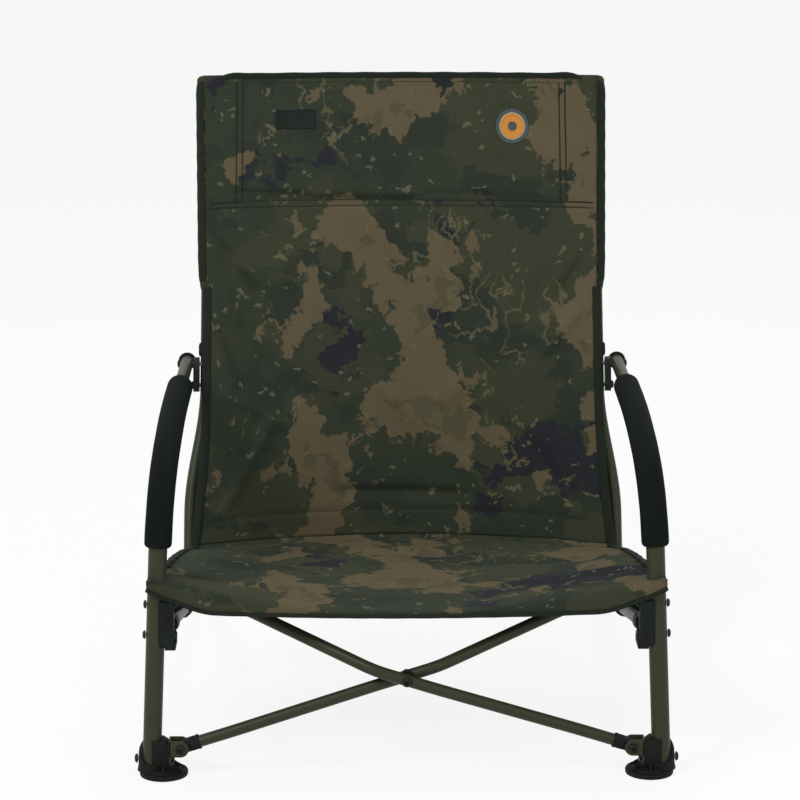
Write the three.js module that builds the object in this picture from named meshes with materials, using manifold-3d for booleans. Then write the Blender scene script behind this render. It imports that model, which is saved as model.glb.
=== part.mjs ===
// Low folding arm chair: two bent-tube side frames, crossed tubes under the seat, cloth seat and back.
// Millimetres, +Z up, +X to the right as seen from the front, +Y to the rear.
// The origin lies on the ground, midway between the feet.
import * as THREE from "three";
import { mergeVertices } from "three/addons/utils/BufferGeometryUtils.js";
import Module from "manifold-3d";

const wasm = await Module();
wasm.setup();

// Clearances and facets
const gap = 0.3;
const clothGap = 0.5;
const overrun = 20;
const tubeSides = 12;
const boreSides = 10;
const boltSides = 6;
const padSides = 16;
const bendSteps = 8;
const armSteps = 3;

// Plan of the frame
const frameDepth = 650;
const sideTubeX = 256;

// Front leg and arm, one bent tube on each side
const legRadius = 10;
const tubeWall = 1.2;
const legFootOffset = 18.5;
const legFootHeight = 12;
const legTopOffset = 8.5;
const legTopDepth = 5;
const legTopHeight = 240;
const bendReach = 80;
const armOffset = 2;
const armFrontDepth = 150;
const armFrontHeight = 350;
const armRearDepth = 414;
const armRearRise = 15.6;
const armRearOffset = -1;
const armFrontSlope = 0.125;
const armRearSlope = 0.03;

// Foam grip and end cap of the arm
const gripWall = 4.7;
const gripStartHeight = 252;
const gripEndDepth = 300;
const armNeckRadius = 7.5;
const armNeckCover = 3;
const armCapFlange = 3;
const armCapLip = 3;
const armCapStep = 1.2;
const armCapDome = 9;
const armCapSpigot = 4;

// Back post
const postRadius = 7.5;
const postMeetDepth = 286;
const postLeanShare = 0.4535;
const postStandoff = 12;
const postOffset = 7;
const postInset = 24.7;
const postTopInset = 19.5;
const postBendSpan = 140;
const postBendClear = 1;
const postWaistRise = 67;
const postTopHeight = 683;
const postBendSteps = 4;

// Rear leg tube
const rearTubeRadius = 8;
const rearTubeFrontDepth = 18;
const rearTubeFrontHeight = 163;
const rearTubeEndHeight = 15;
const rearTubeEndInset = 2;

// Feet
const padRadius = 26;
const padInset = 13;
const padRim = 4.5;
const padCrown = 9;
const padChamfer = 1.5;
const collarRadius = 14.5;
const collarFrontHeight = 27;
const collarRearHeight = 42;
const bossReach = 18.5;
const bossWidth = 21;
const bossHeight = 41;
const footBoltHeight = 18.5;
const rearSocketRadius = 11.5;
const rearSocketLength = 50;

// Clevis and pin on each front foot
const clevisPlate = 2.5;
const clevisCheek = 2;
const clevisGap = 14.6;
const clevisRadius = 9;
const clevisPinInset = 10.2;
const footPinHeight = 31;
const pinRadius = 2.5;
const pinHeadRadius = 5.5;
const pinHeadHeight = 3;

// Crossed tubes and what ends and joins them
const crossRadius = 6.5;
const crossSocket = 15;
const crossStraight = 42;
const crossFlat = 22;
const crossCapRadius = 8;
const crossCapLength = 20;
const tongueWidth = 12;
const spacerThickness = 1.6;
const spacerRadius = 9;
const rivetRadius = 3;
const rivetHeadRadius = 6;
const rivetHeadHeight = 2.6;
const eyeRadius = 5;
const eyeWidth = 8;
const eyeSocket = 12;
const eyeSleeve = 7.6;
const eyeSleeveLength = 16;
const crossBendSteps = 3;
const crossBendShare = 0.16;

// Seat rail with its lug
const railRadius = 6.5;
const railInset = 26.5;
const railFrontDepth = 24;
const railEndClear = 12.6;
const lugDepth = 75;
const lugLength = 13.4;
const lugWall = 1.6;
const lugEar = 2.2;
const lugEarWidth = 11;
const lugGap = 9.2;
const railPinRadius = 2;
const railPinHeadRadius = 3.8;
const railPinHeadHeight = 1.8;

// Saddle block on the leg
const blockWidth = 16;
const blockFront = 8;
const blockRear = 26;
const blockBelow = 20;
const blockAbove = 35;
const blockStep = 4;
const blockStepHeight = 6;
const blockEdge = 1.2;
const blockSleeve = 3;
const blockSleeveLength = 34;
const saddleReach = 8;
const saddleDrop = 14;
const saddleDepth = 26;
const blockBoltShare = 0.85;
const blockBoltLowShare = 0.24;

// Rear saddle on the post
const rearSaddleLow = 130;
const rearSaddleHigh = 154;
const rearSaddleWall = 3.2;
const rearSaddleDepth = 22;
const rearSaddleThick = 14;

// Socket that joins the post to the rear leg tube
const socketWall = 3;
const socketLength = 46;
const socketRise = 28;
const socketBoltRise = 19;

// Bracket between the post and the arm
const bracketWidth = 16;
const bracketDrop = 0.6;
const bracketBoltSpacing = 24;

// Bolts
const boltRadius = 2.6;
const boltHeadRadius = 5;
const boltHeadHeight = 3.4;
const nutRadius = 4.6;
const nutHeight = 3.2;

// Webbing band on the post
const bandRise = 15;
const bandWidth = 14;
const bandThick = 2;

// Cloth
const cloth = 3;
const seatFrontOffset = 12;
const seatRearOffset = -13;
const seatFrontHeight = 221;
const seatRearHeight = 168;
const seatMidFrontHeight = 183;
const seatMidRearHeight = 163;
const seatDropPower = 1.7;
const seatTaperPower = 0.6;
const seatColumns = 12;
const seatRows = 9;
const apronBottomHeight = 177;
const apronInset = 14;
const legLoopLow = 199.5;
const legLoopHigh = 223;
const sleeveEnd = 12;
const creaseBow = 70;
const topBow = 18;
const bowPower = 2.2;
const backTopRise = 7;
const backWaistInset = 25;
const backColumns = 16;
const backRows = 14;
const creaseLift = 2.2;
const bandRoom = 5;

// Finishes
const oliveCoat = new THREE.MeshStandardMaterial({ color: 0x2f3624, roughness: 0.5, metalness: 0.4 });
const foam = new THREE.MeshStandardMaterial({ color: 0x1b211f, roughness: 0.95, metalness: 0 });
const blackPlastic = new THREE.MeshStandardMaterial({ color: 0x16181a, roughness: 0.6, metalness: 0 });
const greyPlastic = new THREE.MeshStandardMaterial({ color: 0x6b7065, roughness: 0.5, metalness: 0 });
const blackSteel = new THREE.MeshStandardMaterial({ color: 0x1c1d1e, roughness: 0.4, metalness: 0.6 });
const webbing = new THREE.MeshStandardMaterial({ color: 0x15181a, roughness: 0.9, metalness: 0 });
const camoCloth = new THREE.MeshStandardMaterial({ color: 0x4a4a35, roughness: 0.9, metalness: 0 });

// Places, with depth measured back from the plane of the front feet
const frontPlane = -frameDepth / 2;
const at = (x, depth, height) => new THREE.Vector3(x, frontPlane + depth, height);

// Solids from closed geometries, and back
function toSolid(geometry) {
  const bare = new THREE.BufferGeometry();
  bare.setAttribute("position", geometry.getAttribute("position"));
  bare.setIndex(geometry.index);
  const merged = mergeVertices(bare);
  const triVerts = new Uint32Array(merged.index.array);
  const vertProperties = merged.getAttribute("position").array;
  return new wasm.Manifold(new wasm.Mesh({ numProp: 3, vertProperties, triVerts }));
}

function toGeometry(solid) {
  const mesh = solid.getMesh();
  const geometry = new THREE.BufferGeometry();
  geometry.setAttribute("position", new THREE.BufferAttribute(new Float32Array(mesh.vertProperties), 3));
  geometry.setIndex(new THREE.BufferAttribute(new Uint32Array(mesh.triVerts), 1));
  geometry.computeVertexNormals();
  return geometry;
}

const join = (first, ...others) => others.reduce((sum, other) => sum.add(other), first);
const cut = (first, ...others) => others.reduce((rest, other) => rest.subtract(other), first);

// A bore whose flats clear a round of the given radius
const boreFor = (radius, sides = boreSides) => (radius + gap) / Math.cos(Math.PI / sides);

function circlePoints(radius, sides) {
  const points = [];
  for (let i = 0; i < sides; i++) {
    const turn = (2 * Math.PI * i) / sides;
    points.push(new THREE.Vector2(radius * Math.cos(turn), radius * Math.sin(turn)));
  }
  return points;
}

// A polyline that a section follows, with one step for each of its points
class Route extends THREE.Curve {
  constructor(points) {
    super();
    this.points = points;
  }
  getPoint(t, target = new THREE.Vector3()) {
    const steps = this.points.length - 1;
    const place = Math.min(Math.max(t, 0), 1) * steps;
    const index = Math.min(Math.floor(place), steps - 1);
    return target.lerpVectors(this.points[index], this.points[index + 1], place - index);
  }
  getPointAt(t, target) {
    return this.getPoint(t, target);
  }
  getTangentAt(t, target) {
    return this.getTangent(t, target);
  }
}

function sweep(points, radius, sides = tubeSides, bore = 0) {
  const section = new THREE.Shape(circlePoints(radius, sides));
  if (bore > 0) section.holes.push(new THREE.Path(circlePoints(bore, boreSides)));
  const extrudePath = new Route(points);
  return toSolid(new THREE.ExtrudeGeometry(section, { steps: points.length - 1, extrudePath }));
}

const tube = (points, radius) => sweep(points, radius, tubeSides, radius - tubeWall);

// The stretch of a polyline between two lengths along it
function stretch(points, from, to) {
  const kept = [];
  let walked = 0;
  for (let i = 1; i < points.length; i++) {
    const length = points[i].distanceTo(points[i - 1]);
    const place = (distance) => points[i - 1].clone().lerp(points[i], (distance - walked) / length);
    if (from >= walked && from < walked + length) kept.push(place(from));
    if (walked > from && walked < to && walked > 0) kept.push(points[i - 1].clone());
    if (to > walked && to <= walked + length) kept.push(place(to));
    walked += length;
  }
  return kept.sort((a, b) => a.distanceTo(points[0]) - b.distanceTo(points[0]));
}

// The whole length of a polyline
function routeLength(points) {
  return points.slice(1).reduce((sum, point, i) => sum + point.distanceTo(points[i]), 0);
}

// A polyline with its ends pushed out in line
function lengthened(points, before, after) {
  const longer = points.map((point) => point.clone());
  const count = points.length;
  const firstWay = points[0].clone().sub(points[1]).normalize();
  const lastWay = points[count - 1].clone().sub(points[count - 2]).normalize();
  longer[0].addScaledVector(firstWay, before);
  longer[count - 1].addScaledVector(lastWay, after);
  return longer;
}

// The length along a polyline at which one of its coordinates reaches a value
function lengthWhere(points, axis, value) {
  let walked = 0;
  for (let i = 1; i < points.length; i++) {
    const length = points[i].distanceTo(points[i - 1]);
    const before = points[i - 1][axis];
    const after = points[i][axis];
    if ((value - before) * (value - after) <= 0 && before !== after)
      return walked + (length * (value - before)) / (after - before);
    walked += length;
  }
  return walked;
}

// A point of a polyline at a height
function pointAtHeight(points, height) {
  for (let i = 1; i < points.length; i++)
    if (height <= points[i].z || i === points.length - 1) {
      const share = (height - points[i - 1].z) / (points[i].z - points[i - 1].z);
      return points[i - 1].clone().lerp(points[i], share);
    }
  return points[0].clone();
}

function box(lowX, highX, lowY, highY, lowZ, highZ) {
  const geometry = new THREE.BoxGeometry(highX - lowX, highY - lowY, highZ - lowZ);
  return toSolid(geometry.translate((lowX + highX) / 2, (lowY + highY) / 2, (lowZ + highZ) / 2));
}

// A box with its edges eased
function easedBox(lowX, highX, lowY, highY, lowZ, highZ, edge) {
  const outline = new THREE.Shape();
  outline.moveTo(lowX + edge, lowY + edge);
  outline.lineTo(highX - edge, lowY + edge);
  outline.lineTo(highX - edge, highY - edge);
  outline.lineTo(lowX + edge, highY - edge);
  outline.closePath();
  const options = { depth: highZ - lowZ - 2 * edge, bevelSize: edge, bevelThickness: edge, bevelSegments: 1 };
  return toSolid(new THREE.ExtrudeGeometry(outline, options).translate(0, 0, lowZ + edge));
}

// A plate in the front plane: an outline in X and Z, with its thickness along Y
function frontPlate(outline, lowY, highY) {
  const geometry = new THREE.ExtrudeGeometry(outline, { depth: highY - lowY, bevelEnabled: false });
  return toSolid(geometry.rotateX(Math.PI / 2).translate(0, highY, 0));
}

// A plate in the side plane: an outline in Y and Z, with its thickness along X
function sidePlate(outline, lowX, highX) {
  const geometry = new THREE.ExtrudeGeometry(outline, { depth: highX - lowX, bevelEnabled: false });
  return toSolid(geometry.rotateX(Math.PI / 2).rotateZ(Math.PI / 2).translate(lowX, 0, 0));
}

// A turned piece: its profile is a list of radius and length along the axis
function turned(profile, sides, direction, place) {
  const outline = profile.map(([radius, along]) => new THREE.Vector2(radius, along));
  const geometry = new THREE.LatheGeometry(outline, sides);
  const aim = new THREE.Quaternion().setFromUnitVectors(new THREE.Vector3(0, 1, 0), direction);
  return toSolid(geometry.applyQuaternion(aim).translate(place.x, place.y, place.z));
}

// A bolt or pin: head at its place, shank along its direction, and a nut or tail at the far end
function fastener(place, direction, length, size) {
  const { shank, head, headHeight, tail, tailHeight } = size;
  const crown = headHeight / 2;
  const profile = [
    [0, -headHeight],
    [head - crown, -headHeight],
    [head, -crown],
    [head, 0],
    [shank, 0],
    [shank, length],
    [tail, length],
    [tail, length + tailHeight],
    [0, length + tailHeight],
  ];
  return turned(profile, boltSides, direction, place);
}

const boltSize = {
  shank: boltRadius,
  head: boltHeadRadius,
  headHeight: boltHeadHeight,
  tail: nutRadius,
  tailHeight: nutHeight,
};
const inward = new THREE.Vector3(-1, 0, 0);
const rearward = new THREE.Vector3(0, 1, 0);
const upward = new THREE.Vector3(0, 0, 1);

const boltHole = (place, direction, radius = boltRadius) =>
  sweep(
    [
      place.clone().addScaledVector(direction, -overrun * 2),
      place.clone().addScaledVector(direction, overrun * 2),
    ],
    boreFor(radius, boltSides),
    boltSides,
  );

// A sheet of cloth whose faces lie half its thickness from a surface point(u, v)
function sheet(point, columns, rows, thickness) {
  const step = 1e-3;
  const positions = [];
  for (const face of [1, -1])
    for (let row = 0; row <= rows; row++)
      for (let column = 0; column <= columns; column++) {
        const u = column / columns;
        const v = row / rows;
        const across = point(u + step, v).sub(point(u - step, v));
        const along = point(u, v + step).sub(point(u, v - step));
        const normal = across.cross(along).normalize();
        const place = point(u, v).addScaledVector(normal, (face * thickness) / 2);
        positions.push(place.x, place.y, place.z);
      }
  const stride = columns + 1;
  const lower = stride * (rows + 1);
  const index = [];
  const quad = (a, b, c, d) => index.push(a, b, c, a, c, d);
  for (let row = 0; row < rows; row++)
    for (let column = 0; column < columns; column++) {
      const corner = row * stride + column;
      quad(corner, corner + 1, corner + stride + 1, corner + stride);
      const under = corner + lower;
      quad(under, under + stride, under + stride + 1, under + 1);
    }
  for (let column = 0; column < columns; column++) {
    const last = rows * stride + column;
    quad(column, column + lower, column + lower + 1, column + 1);
    quad(last, last + 1, last + lower + 1, last + lower);
  }
  for (let row = 0; row < rows; row++) {
    const left = row * stride;
    const right = left + columns;
    quad(left, left + stride, left + stride + lower, left + lower);
    quad(right, right + lower, right + stride + lower, right + stride);
  }
  const geometry = new THREE.BufferGeometry();
  geometry.setAttribute("position", new THREE.Float32BufferAttribute(positions, 3));
  geometry.setIndex(index);
  return toSolid(geometry);
}

// Routes of the tubes on the right side; the left side mirrors them
const legFootX = sideTubeX + legFootOffset;
const legFoot = at(legFootX, 0, legFootHeight);
const legTop = at(sideTubeX + legTopOffset, legTopDepth, legTopHeight);
const armFront = at(sideTubeX + armOffset, armFrontDepth, armFrontHeight);
const armRear = at(sideTubeX + armRearOffset, armRearDepth, armFrontHeight + armRearRise);
const legWay = legTop.clone().sub(legFoot).normalize();
const armFrontWay = new THREE.Vector3(0, 1, armFrontSlope).normalize();
const armRearWay = new THREE.Vector3(0, 1, armRearSlope).normalize();
const armHandle = armFront.distanceTo(armRear) / 3;

const bend = new THREE.CubicBezierCurve3(
  legTop,
  legTop.clone().addScaledVector(legWay, bendReach),
  armFront.clone().addScaledVector(armFrontWay, -bendReach),
  armFront,
);
const arm = new THREE.CubicBezierCurve3(
  armFront,
  armFront.clone().addScaledVector(armFrontWay, armHandle),
  armRear.clone().addScaledVector(armRearWay, -armHandle),
  armRear,
);
const legRoute = [legFoot, ...bend.getPoints(bendSteps), ...arm.getPoints(armSteps).slice(1)];
const legAt = (height) =>
  legFoot.clone().lerp(legTop, (height - legFootHeight) / (legTopHeight - legFootHeight));

// The post leans back in a straight line and steps inward above the seat
// The rear leg tube falls straight from the block to the rear foot, and the post meets it on the way
const rearTubeFront = at(sideTubeX, rearTubeFrontDepth, rearTubeFrontHeight);
const rearTubeEnd = at(sideTubeX, frameDepth - rearTubeEndInset, rearTubeEndHeight);
const rearTubeRoute = [rearTubeFront, rearTubeEnd];
const rearTubeWay = rearTubeEnd.clone().sub(rearTubeFront).normalize();
const rearTubeFall = rearTubeWay.z / rearTubeWay.y;
const postMeetHeight = rearTubeFrontHeight + rearTubeFall * (postMeetDepth - rearTubeFrontDepth);
const postDepth = (height) => postMeetDepth + postLeanShare * (height - postMeetHeight);
const postWay = new THREE.Vector3(0, postLeanShare, 1).normalize();
const rearTubeMeet = at(sideTubeX, postMeetDepth, postMeetHeight);
const postMeet = at(sideTubeX - postOffset, postMeetDepth, postMeetHeight);
const railRearDepth = postDepth(rearSaddleHigh) - railEndClear;
const backTopHeight = postTopHeight + backTopRise;
const bracketHighHeight = armRear.z - bracketDrop;
const bracketLowHeight = bracketHighHeight - bracketBoltSpacing;
const bandHeight = bracketHighHeight + bandRise;
const postWaistHeight = bandHeight + postWaistRise;
const postBendHigh = bracketLowHeight - postBendClear;
const postBendLow = postBendHigh - postBendSpan;
const postPoint = (inset, height) => at(sideTubeX - inset, postDepth(height), height);
const postRoute = [postMeet.clone().addScaledVector(postWay, postStandoff)];
for (let i = 0; i <= postBendSteps; i++) {
  const share = i / postBendSteps;
  const ease = (1 - Math.cos(Math.PI * share)) / 2;
  const inset = postOffset + (postInset - postOffset) * ease;
  postRoute.push(postPoint(inset, postBendLow + (postBendHigh - postBendLow) * share));
}
postRoute.push(postPoint(postInset, postWaistHeight), postPoint(postTopInset, postTopHeight));
const postAt = (height) => pointAtHeight(postRoute, height);

// Cloth surfaces
const seatEdgeDepth = postDepth(seatRearHeight) - postRadius - cloth - clothGap;
const seatEdgeX = (v) =>
  sideTubeX + seatFrontOffset - (seatFrontOffset - seatRearOffset) * Math.pow(Math.max(v, 0), seatTaperPower);
const seatEdgeHeight = (v) =>
  seatFrontHeight - (seatFrontHeight - seatRearHeight) * Math.pow(Math.max(v, 0), seatDropPower);
const seatMidHeight = (v) => seatMidFrontHeight - (seatMidFrontHeight - seatMidRearHeight) * v;

function seatPoint(across, v) {
  const middle = 1 - across * across;
  const depth = v * (seatEdgeDepth + creaseBow * middle);
  const height = seatEdgeHeight(v) + (seatMidHeight(v) - seatEdgeHeight(v)) * middle;
  return at(seatEdgeX(v) * across, depth, height - cloth / 2);
}

// Height of the middle of the seat cloth over a place under it
function seatOver(x, depth) {
  let v = depth / seatEdgeDepth;
  for (let turn = 0; turn < 8; turn++) {
    const across = x / seatEdgeX(v);
    v = depth / (seatEdgeDepth + creaseBow * (1 - across * across));
  }
  return seatPoint(x / seatEdgeX(v), v).z;
}

const bowAt = (height) => {
  const share = (backTopHeight - height) / (backTopHeight - seatRearHeight);
  return topBow + (creaseBow - topBow) * Math.pow(Math.max(share, 0), bowPower);
};
const clothStandoff = (postRadius + clothGap + cloth / 2) / postWay.z;
const bandTop = bandHeight + bandWidth;
const roomAt = (height) =>
  bandRoom * Math.min(Math.max((postWaistHeight - height) / (postWaistHeight - bandTop), 0), 1);

function backHalfWidth(height) {
  const waist = sideTubeX - backWaistInset;
  if (height >= postWaistHeight) return postAt(height).x;
  if (height >= postBendHigh) {
    const share = (height - postBendHigh) / (postWaistHeight - postBendHigh);
    return waist + (postAt(postWaistHeight).x - waist) * share * share;
  }
  const share = (postBendHigh - height) / (postBendHigh - seatRearHeight);
  return waist + (seatEdgeX(1) - waist) * share * share;
}

function backPoint(across, v) {
  const middle = 1 - across * across;
  const low = seatEdgeHeight(1) + (seatMidHeight(1) - seatEdgeHeight(1)) * middle + creaseLift;
  const height = low + (backTopHeight - low) * v;
  const depth = postDepth(height) - clothStandoff - roomAt(height) + bowAt(height) * middle;
  return at(backHalfWidth(height) * across, depth, height);
}

// The rail lies just under the seat cloth at both ends
const railX = sideTubeX - railInset;
const underCloth = cloth / 2 + clothGap + railRadius;
const railFront = at(railX, railFrontDepth, seatOver(railX, railFrontDepth) - underCloth);
const railRear = at(railX, railRearDepth, seatOver(railX, railRearDepth) - underCloth);
const railRoute = [railFront, railRear];
const railAt = (depth) =>
  railFront.clone().lerp(railRear, (depth - railFrontDepth) / (railRearDepth - railFrontDepth));

// The crossed tubes run between the foot pins and the rail pins, straight as seen from the front
const bossFaceX = legFootX - bossReach;
const footPinX = bossFaceX - gap - clevisPlate - clevisPinInset;
const railPinHeight = railAt(lugDepth).z - railRadius - lugWall - eyeRadius - 3 * gap;
const crossSlope = (railPinHeight - footPinHeight) / (footPinX + railX);
const crossAngle = Math.atan(crossSlope);
const crossHeight = footPinHeight + footPinX * crossSlope;
const crossOffset = crossRadius + gap + spacerThickness / 2;
const crossLength = (footPinX + railX) / Math.cos(crossAngle);
const crossMiddle = footPinX / Math.cos(crossAngle);
const footPin = at(footPinX, 0, footPinHeight);
const railPin = at(railX, lugDepth, railPinHeight);

// Front leg and arm tube, with holes for the foot, block and bracket bolts
const blockLow = rearTubeFrontHeight - blockBelow;
const blockHigh = rearTubeFrontHeight + blockAbove;
const blockBoltHeights = [blockBoltShare, blockBoltLowShare].map(
  (share) => blockLow + (blockHigh - blockLow) * share,
);
const bracketHigh = postAt(bracketHighHeight);
const bracketLow = postAt(bracketLowHeight);
const bracketHighPlace = new THREE.Vector3(bracketHigh.x, bracketHigh.y - boltRadius, bracketHigh.z);
const legHoles = [
  boltHole(legAt(footBoltHeight), inward),
  ...blockBoltHeights.map((height) => boltHole(legAt(height), inward)),
];
const bracketHole = boltHole(bracketHighPlace, inward);
const legLength = routeLength(legRoute);
const neckStart = lengthWhere(legRoute, "y", frontPlane + gripEndDepth - armNeckCover);
const thickRoute = (less = 0) => stretch(legRoute, 0, neckStart - less);
const neckRoute = (more = 0) => stretch(legRoute, neckStart - more, legLength);
const armBody = join(sweep(thickRoute(), legRadius), sweep(neckRoute(tubeWall), armNeckRadius));
const armHollow = join(
  sweep(lengthened(thickRoute(tubeWall), overrun, 0), legRadius - tubeWall),
  sweep(lengthened(neckRoute(2 * tubeWall), 0, overrun), armNeckRadius - tubeWall),
);
const armTube = cut(armBody, armHollow, ...legHoles, bracketHole);
const legBore = (room = gap) => {
  const slope = Math.cos(Math.PI / tubeSides);
  return join(
    sweep(thickRoute(-room), (legRadius + room) / slope, tubeSides),
    sweep(neckRoute(), (armNeckRadius + room) / slope, tubeSides),
  );
};

// Foam grip over the bend and the arm
function makeGrip() {
  const start = lengthWhere(legRoute, "z", gripStartHeight);
  const end = lengthWhere(legRoute, "y", frontPlane + gripEndDepth);
  return cut(sweep(stretch(legRoute, start, end), legRadius + gripWall), legBore());
}

// Plug with a flange and a dome in the rear end of the arm
function makeArmCap() {
  const spigot = (armNeckRadius - tubeWall - gap) * Math.cos(Math.PI / boreSides);
  const rim = armNeckRadius + armCapLip;
  const dome = rim - armCapStep;
  const profile = [
    [0, -armCapSpigot],
    [spigot, -armCapSpigot],
    [spigot, gap],
    [rim, gap],
    [rim, armCapFlange],
    [dome, armCapFlange],
    [dome * 0.8, armCapFlange + armCapDome * 0.6],
    [dome * 0.4, armCapFlange + armCapDome * 0.92],
    [0, armCapFlange + armCapDome],
  ];
  return turned(profile, tubeSides, armRearWay, armRear);
}

// Back post, with holes for its socket and bracket bolts
const socketBoltPlace = postMeet.clone().addScaledVector(postWay, socketBoltRise);
const postTube = cut(
  tube(postRoute, postRadius),
  boltHole(socketBoltPlace, inward),
  bracketHole,
  boltHole(bracketLow, inward),
);
const postTip = postRoute[postRoute.length - 1];
const postEndWay = postTip.clone().sub(postRoute[postRoute.length - 2]).normalize();
const postBoreRoute = [
  postRoute[0].clone().addScaledVector(postWay, -gap),
  ...postRoute.slice(1, -1),
  postTip.clone().addScaledVector(postEndWay, clothGap),
];
const postBore = (room = gap) =>
  sweep(postBoreRoute, (postRadius + room) / Math.cos(Math.PI / tubeSides), tubeSides);

const rearTubeBore = () => {
  const start = rearTubeFront.clone().addScaledVector(rearTubeWay, -gap);
  const end = rearTubeEnd.clone().addScaledVector(rearTubeWay, gap);
  return sweep([start, end], boreFor(rearTubeRadius, tubeSides));
};
const rearTube = tube(rearTubeRoute, rearTubeRadius);

// Round pad under each foot
function footPad(x, depth) {
  const profile = [
    [0, 0],
    [padRadius - padChamfer, 0],
    [padRadius, padChamfer],
    [padRadius, padRim],
    [padRadius - padChamfer, padRim + padChamfer],
    [collarRadius, padCrown],
    [0, padCrown],
  ];
  return turned(profile, padSides, upward, at(x, depth, 0));
}

// Front foot: pad, collar cut on a slant and a boss for the clevis
function makeFrontFoot() {
  const centre = at(legFootX, 0, 0);
  const collar = sweep([at(legFootX, 0, padRim), at(legFootX, 0, collarRearHeight + padRim)], collarRadius);
  const slant = Math.atan((collarRearHeight - collarFrontHeight) / (2 * collarRadius));
  const middle = (collarRearHeight + collarFrontHeight) / 2;
  const above = new THREE.BoxGeometry(4 * overrun, 4 * overrun, 2 * overrun).translate(0, 0, overrun);
  above.rotateX(slant).translate(centre.x, centre.y, middle);
  const boss = easedBox(
    bossFaceX,
    legFootX,
    centre.y - bossWidth / 2,
    centre.y + bossWidth / 2,
    padRim - padChamfer,
    bossHeight,
    blockEdge,
  );
  const body = join(footPad(legFootX - padInset, 0), cut(collar, toSolid(above)), boss);
  const seat = sweep([at(legFootX, 0, legFootHeight - gap), legAt(bossHeight + overrun)], boreFor(legRadius));
  return cut(body, seat, boltHole(at(legFootX, 0, footBoltHeight), inward));
}

// Rear foot: pad with a socket that takes the end of the rear leg tube
function makeRearFoot() {
  const start = rearTubeEnd.clone().addScaledVector(rearTubeWay, -rearSocketLength);
  const end = rearTubeEnd.clone().addScaledVector(rearTubeWay, 2 * rearTubeEndInset);
  const ground = box(0, 2 * sideTubeX, rearTubeEnd.y - frameDepth, rearTubeEnd.y + frameDepth, -overrun, 0);
  const socket = cut(sweep([start, end], rearSocketRadius), ground);
  return cut(join(footPad(sideTubeX, frameDepth), socket), rearTubeBore());
}

// Steel clevis on the boss of the front foot
const clevisOuterX = bossFaceX - gap;
const clevisHalf = clevisGap / 2 + clevisCheek;
function makeClevis() {
  const outline = new THREE.Shape();
  outline.moveTo(clevisOuterX, footPinHeight - clevisRadius);
  outline.lineTo(clevisOuterX, footPinHeight + clevisRadius);
  outline.lineTo(footPinX, footPinHeight + clevisRadius);
  outline.absarc(footPinX, footPinHeight, clevisRadius, Math.PI / 2, (3 * Math.PI) / 2, false);
  const points = outline.getPoints(boltSides).map((point) => new THREE.Vector2(point.x, point.y));
  const mirrored = new THREE.Shape(points);
  const front = frontPlate(mirrored, frontPlane - clevisHalf, frontPlane - clevisGap / 2);
  const rear = frontPlate(mirrored, frontPlane + clevisGap / 2, frontPlane + clevisHalf);
  const plate = box(
    clevisOuterX - clevisPlate,
    clevisOuterX,
    frontPlane - clevisHalf,
    frontPlane + clevisHalf,
    footBoltHeight - boltHeadRadius,
    footPinHeight + clevisRadius,
  );
  return cut(
    join(plate, front, rear),
    boltHole(footPin, rearward, pinRadius),
    boltHole(at(footPinX, 0, footBoltHeight), inward),
  );
}

// Foot bolt: from outside the collar, through the leg and the boss, to a nut inside the clevis
function makeFootBolt() {
  const place = at(legFootX + collarRadius + gap, 0, footBoltHeight);
  const length = place.x - (clevisOuterX - clevisPlate - gap);
  return fastener(place, inward, length, boltSize);
}

function makeFootPin() {
  const place = at(footPinX, -clevisHalf - gap, footPinHeight);
  const size = {
    shank: pinRadius,
    head: pinHeadRadius,
    headHeight: pinHeadHeight,
    tail: pinHeadRadius,
    tailHeight: pinHeadHeight,
  };
  return fastener(place, rearward, 2 * (clevisHalf + gap), size);
}

// Block on the leg: it cups the leg, holds the rear leg tube and carries the front of the rail
function makeSaddleBlock() {
  const lowX = sideTubeX - blockWidth / 2;
  const highX = sideTubeX + blockWidth / 2;
  const frontY = frontPlane - blockFront;
  const rearY = frontPlane + blockRear;
  const body = easedBox(lowX, highX, frontY, rearY, blockLow, blockHigh, blockEdge);
  const foot = easedBox(
    lowX - blockStep / 2,
    highX,
    frontY,
    rearY,
    blockLow - blockStepHeight / 3,
    blockLow + blockStepHeight,
    blockEdge,
  );
  const start = rearTubeFront.clone().addScaledVector(rearTubeWay, -blockSleeve);
  const end = rearTubeFront.clone().addScaledVector(rearTubeWay, blockSleeveLength);
  const sleeve = sweep([start, end], rearTubeRadius + blockSleeve);
  const cradle = railAt(railFrontDepth + saddleDepth / 2);
  const arm = easedBox(
    railX - saddleReach,
    lowX + blockEdge * 2,
    railFront.y - blockEdge,
    railFront.y + saddleDepth,
    cradle.z - saddleDrop,
    cradle.z,
    blockEdge,
  );
  return cut(
    join(body, foot, sleeve, arm),
    legBore(),
    rearTubeBore(),
    railTrough(),
    ...blockBoltHeights.map((height) => boltHole(legAt(height), inward)),
  );
}

// Room for the rail to lie in and to lift out of
function railTrough() {
  const start = railFront.clone().addScaledVector(railWay, -overrun);
  const end = railRear.clone().addScaledVector(railWay, overrun);
  const radius = boreFor(railRadius, tubeSides);
  const above = new THREE.Vector3(0, 0, overrun);
  const lift = new THREE.Shape([
    new THREE.Vector2(start.y, start.z),
    new THREE.Vector2(end.y, end.z),
    new THREE.Vector2(end.y, end.z + above.z),
    new THREE.Vector2(start.y, start.z + above.z),
  ]);
  return join(sweep([start, end], radius), sidePlate(lift, railX - radius, railX + radius));
}
const railWay = railRear.clone().sub(railFront).normalize();

function makeBlockBolt(height) {
  const axis = legAt(height);
  const place = new THREE.Vector3(axis.x + legRadius + 2 * gap, axis.y, height);
  const step = height < blockLow + blockStepHeight ? blockStep : 0;
  const length = place.x - (sideTubeX - blockWidth / 2 - gap - step);
  return fastener(place, inward, length, boltSize);
}

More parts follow.
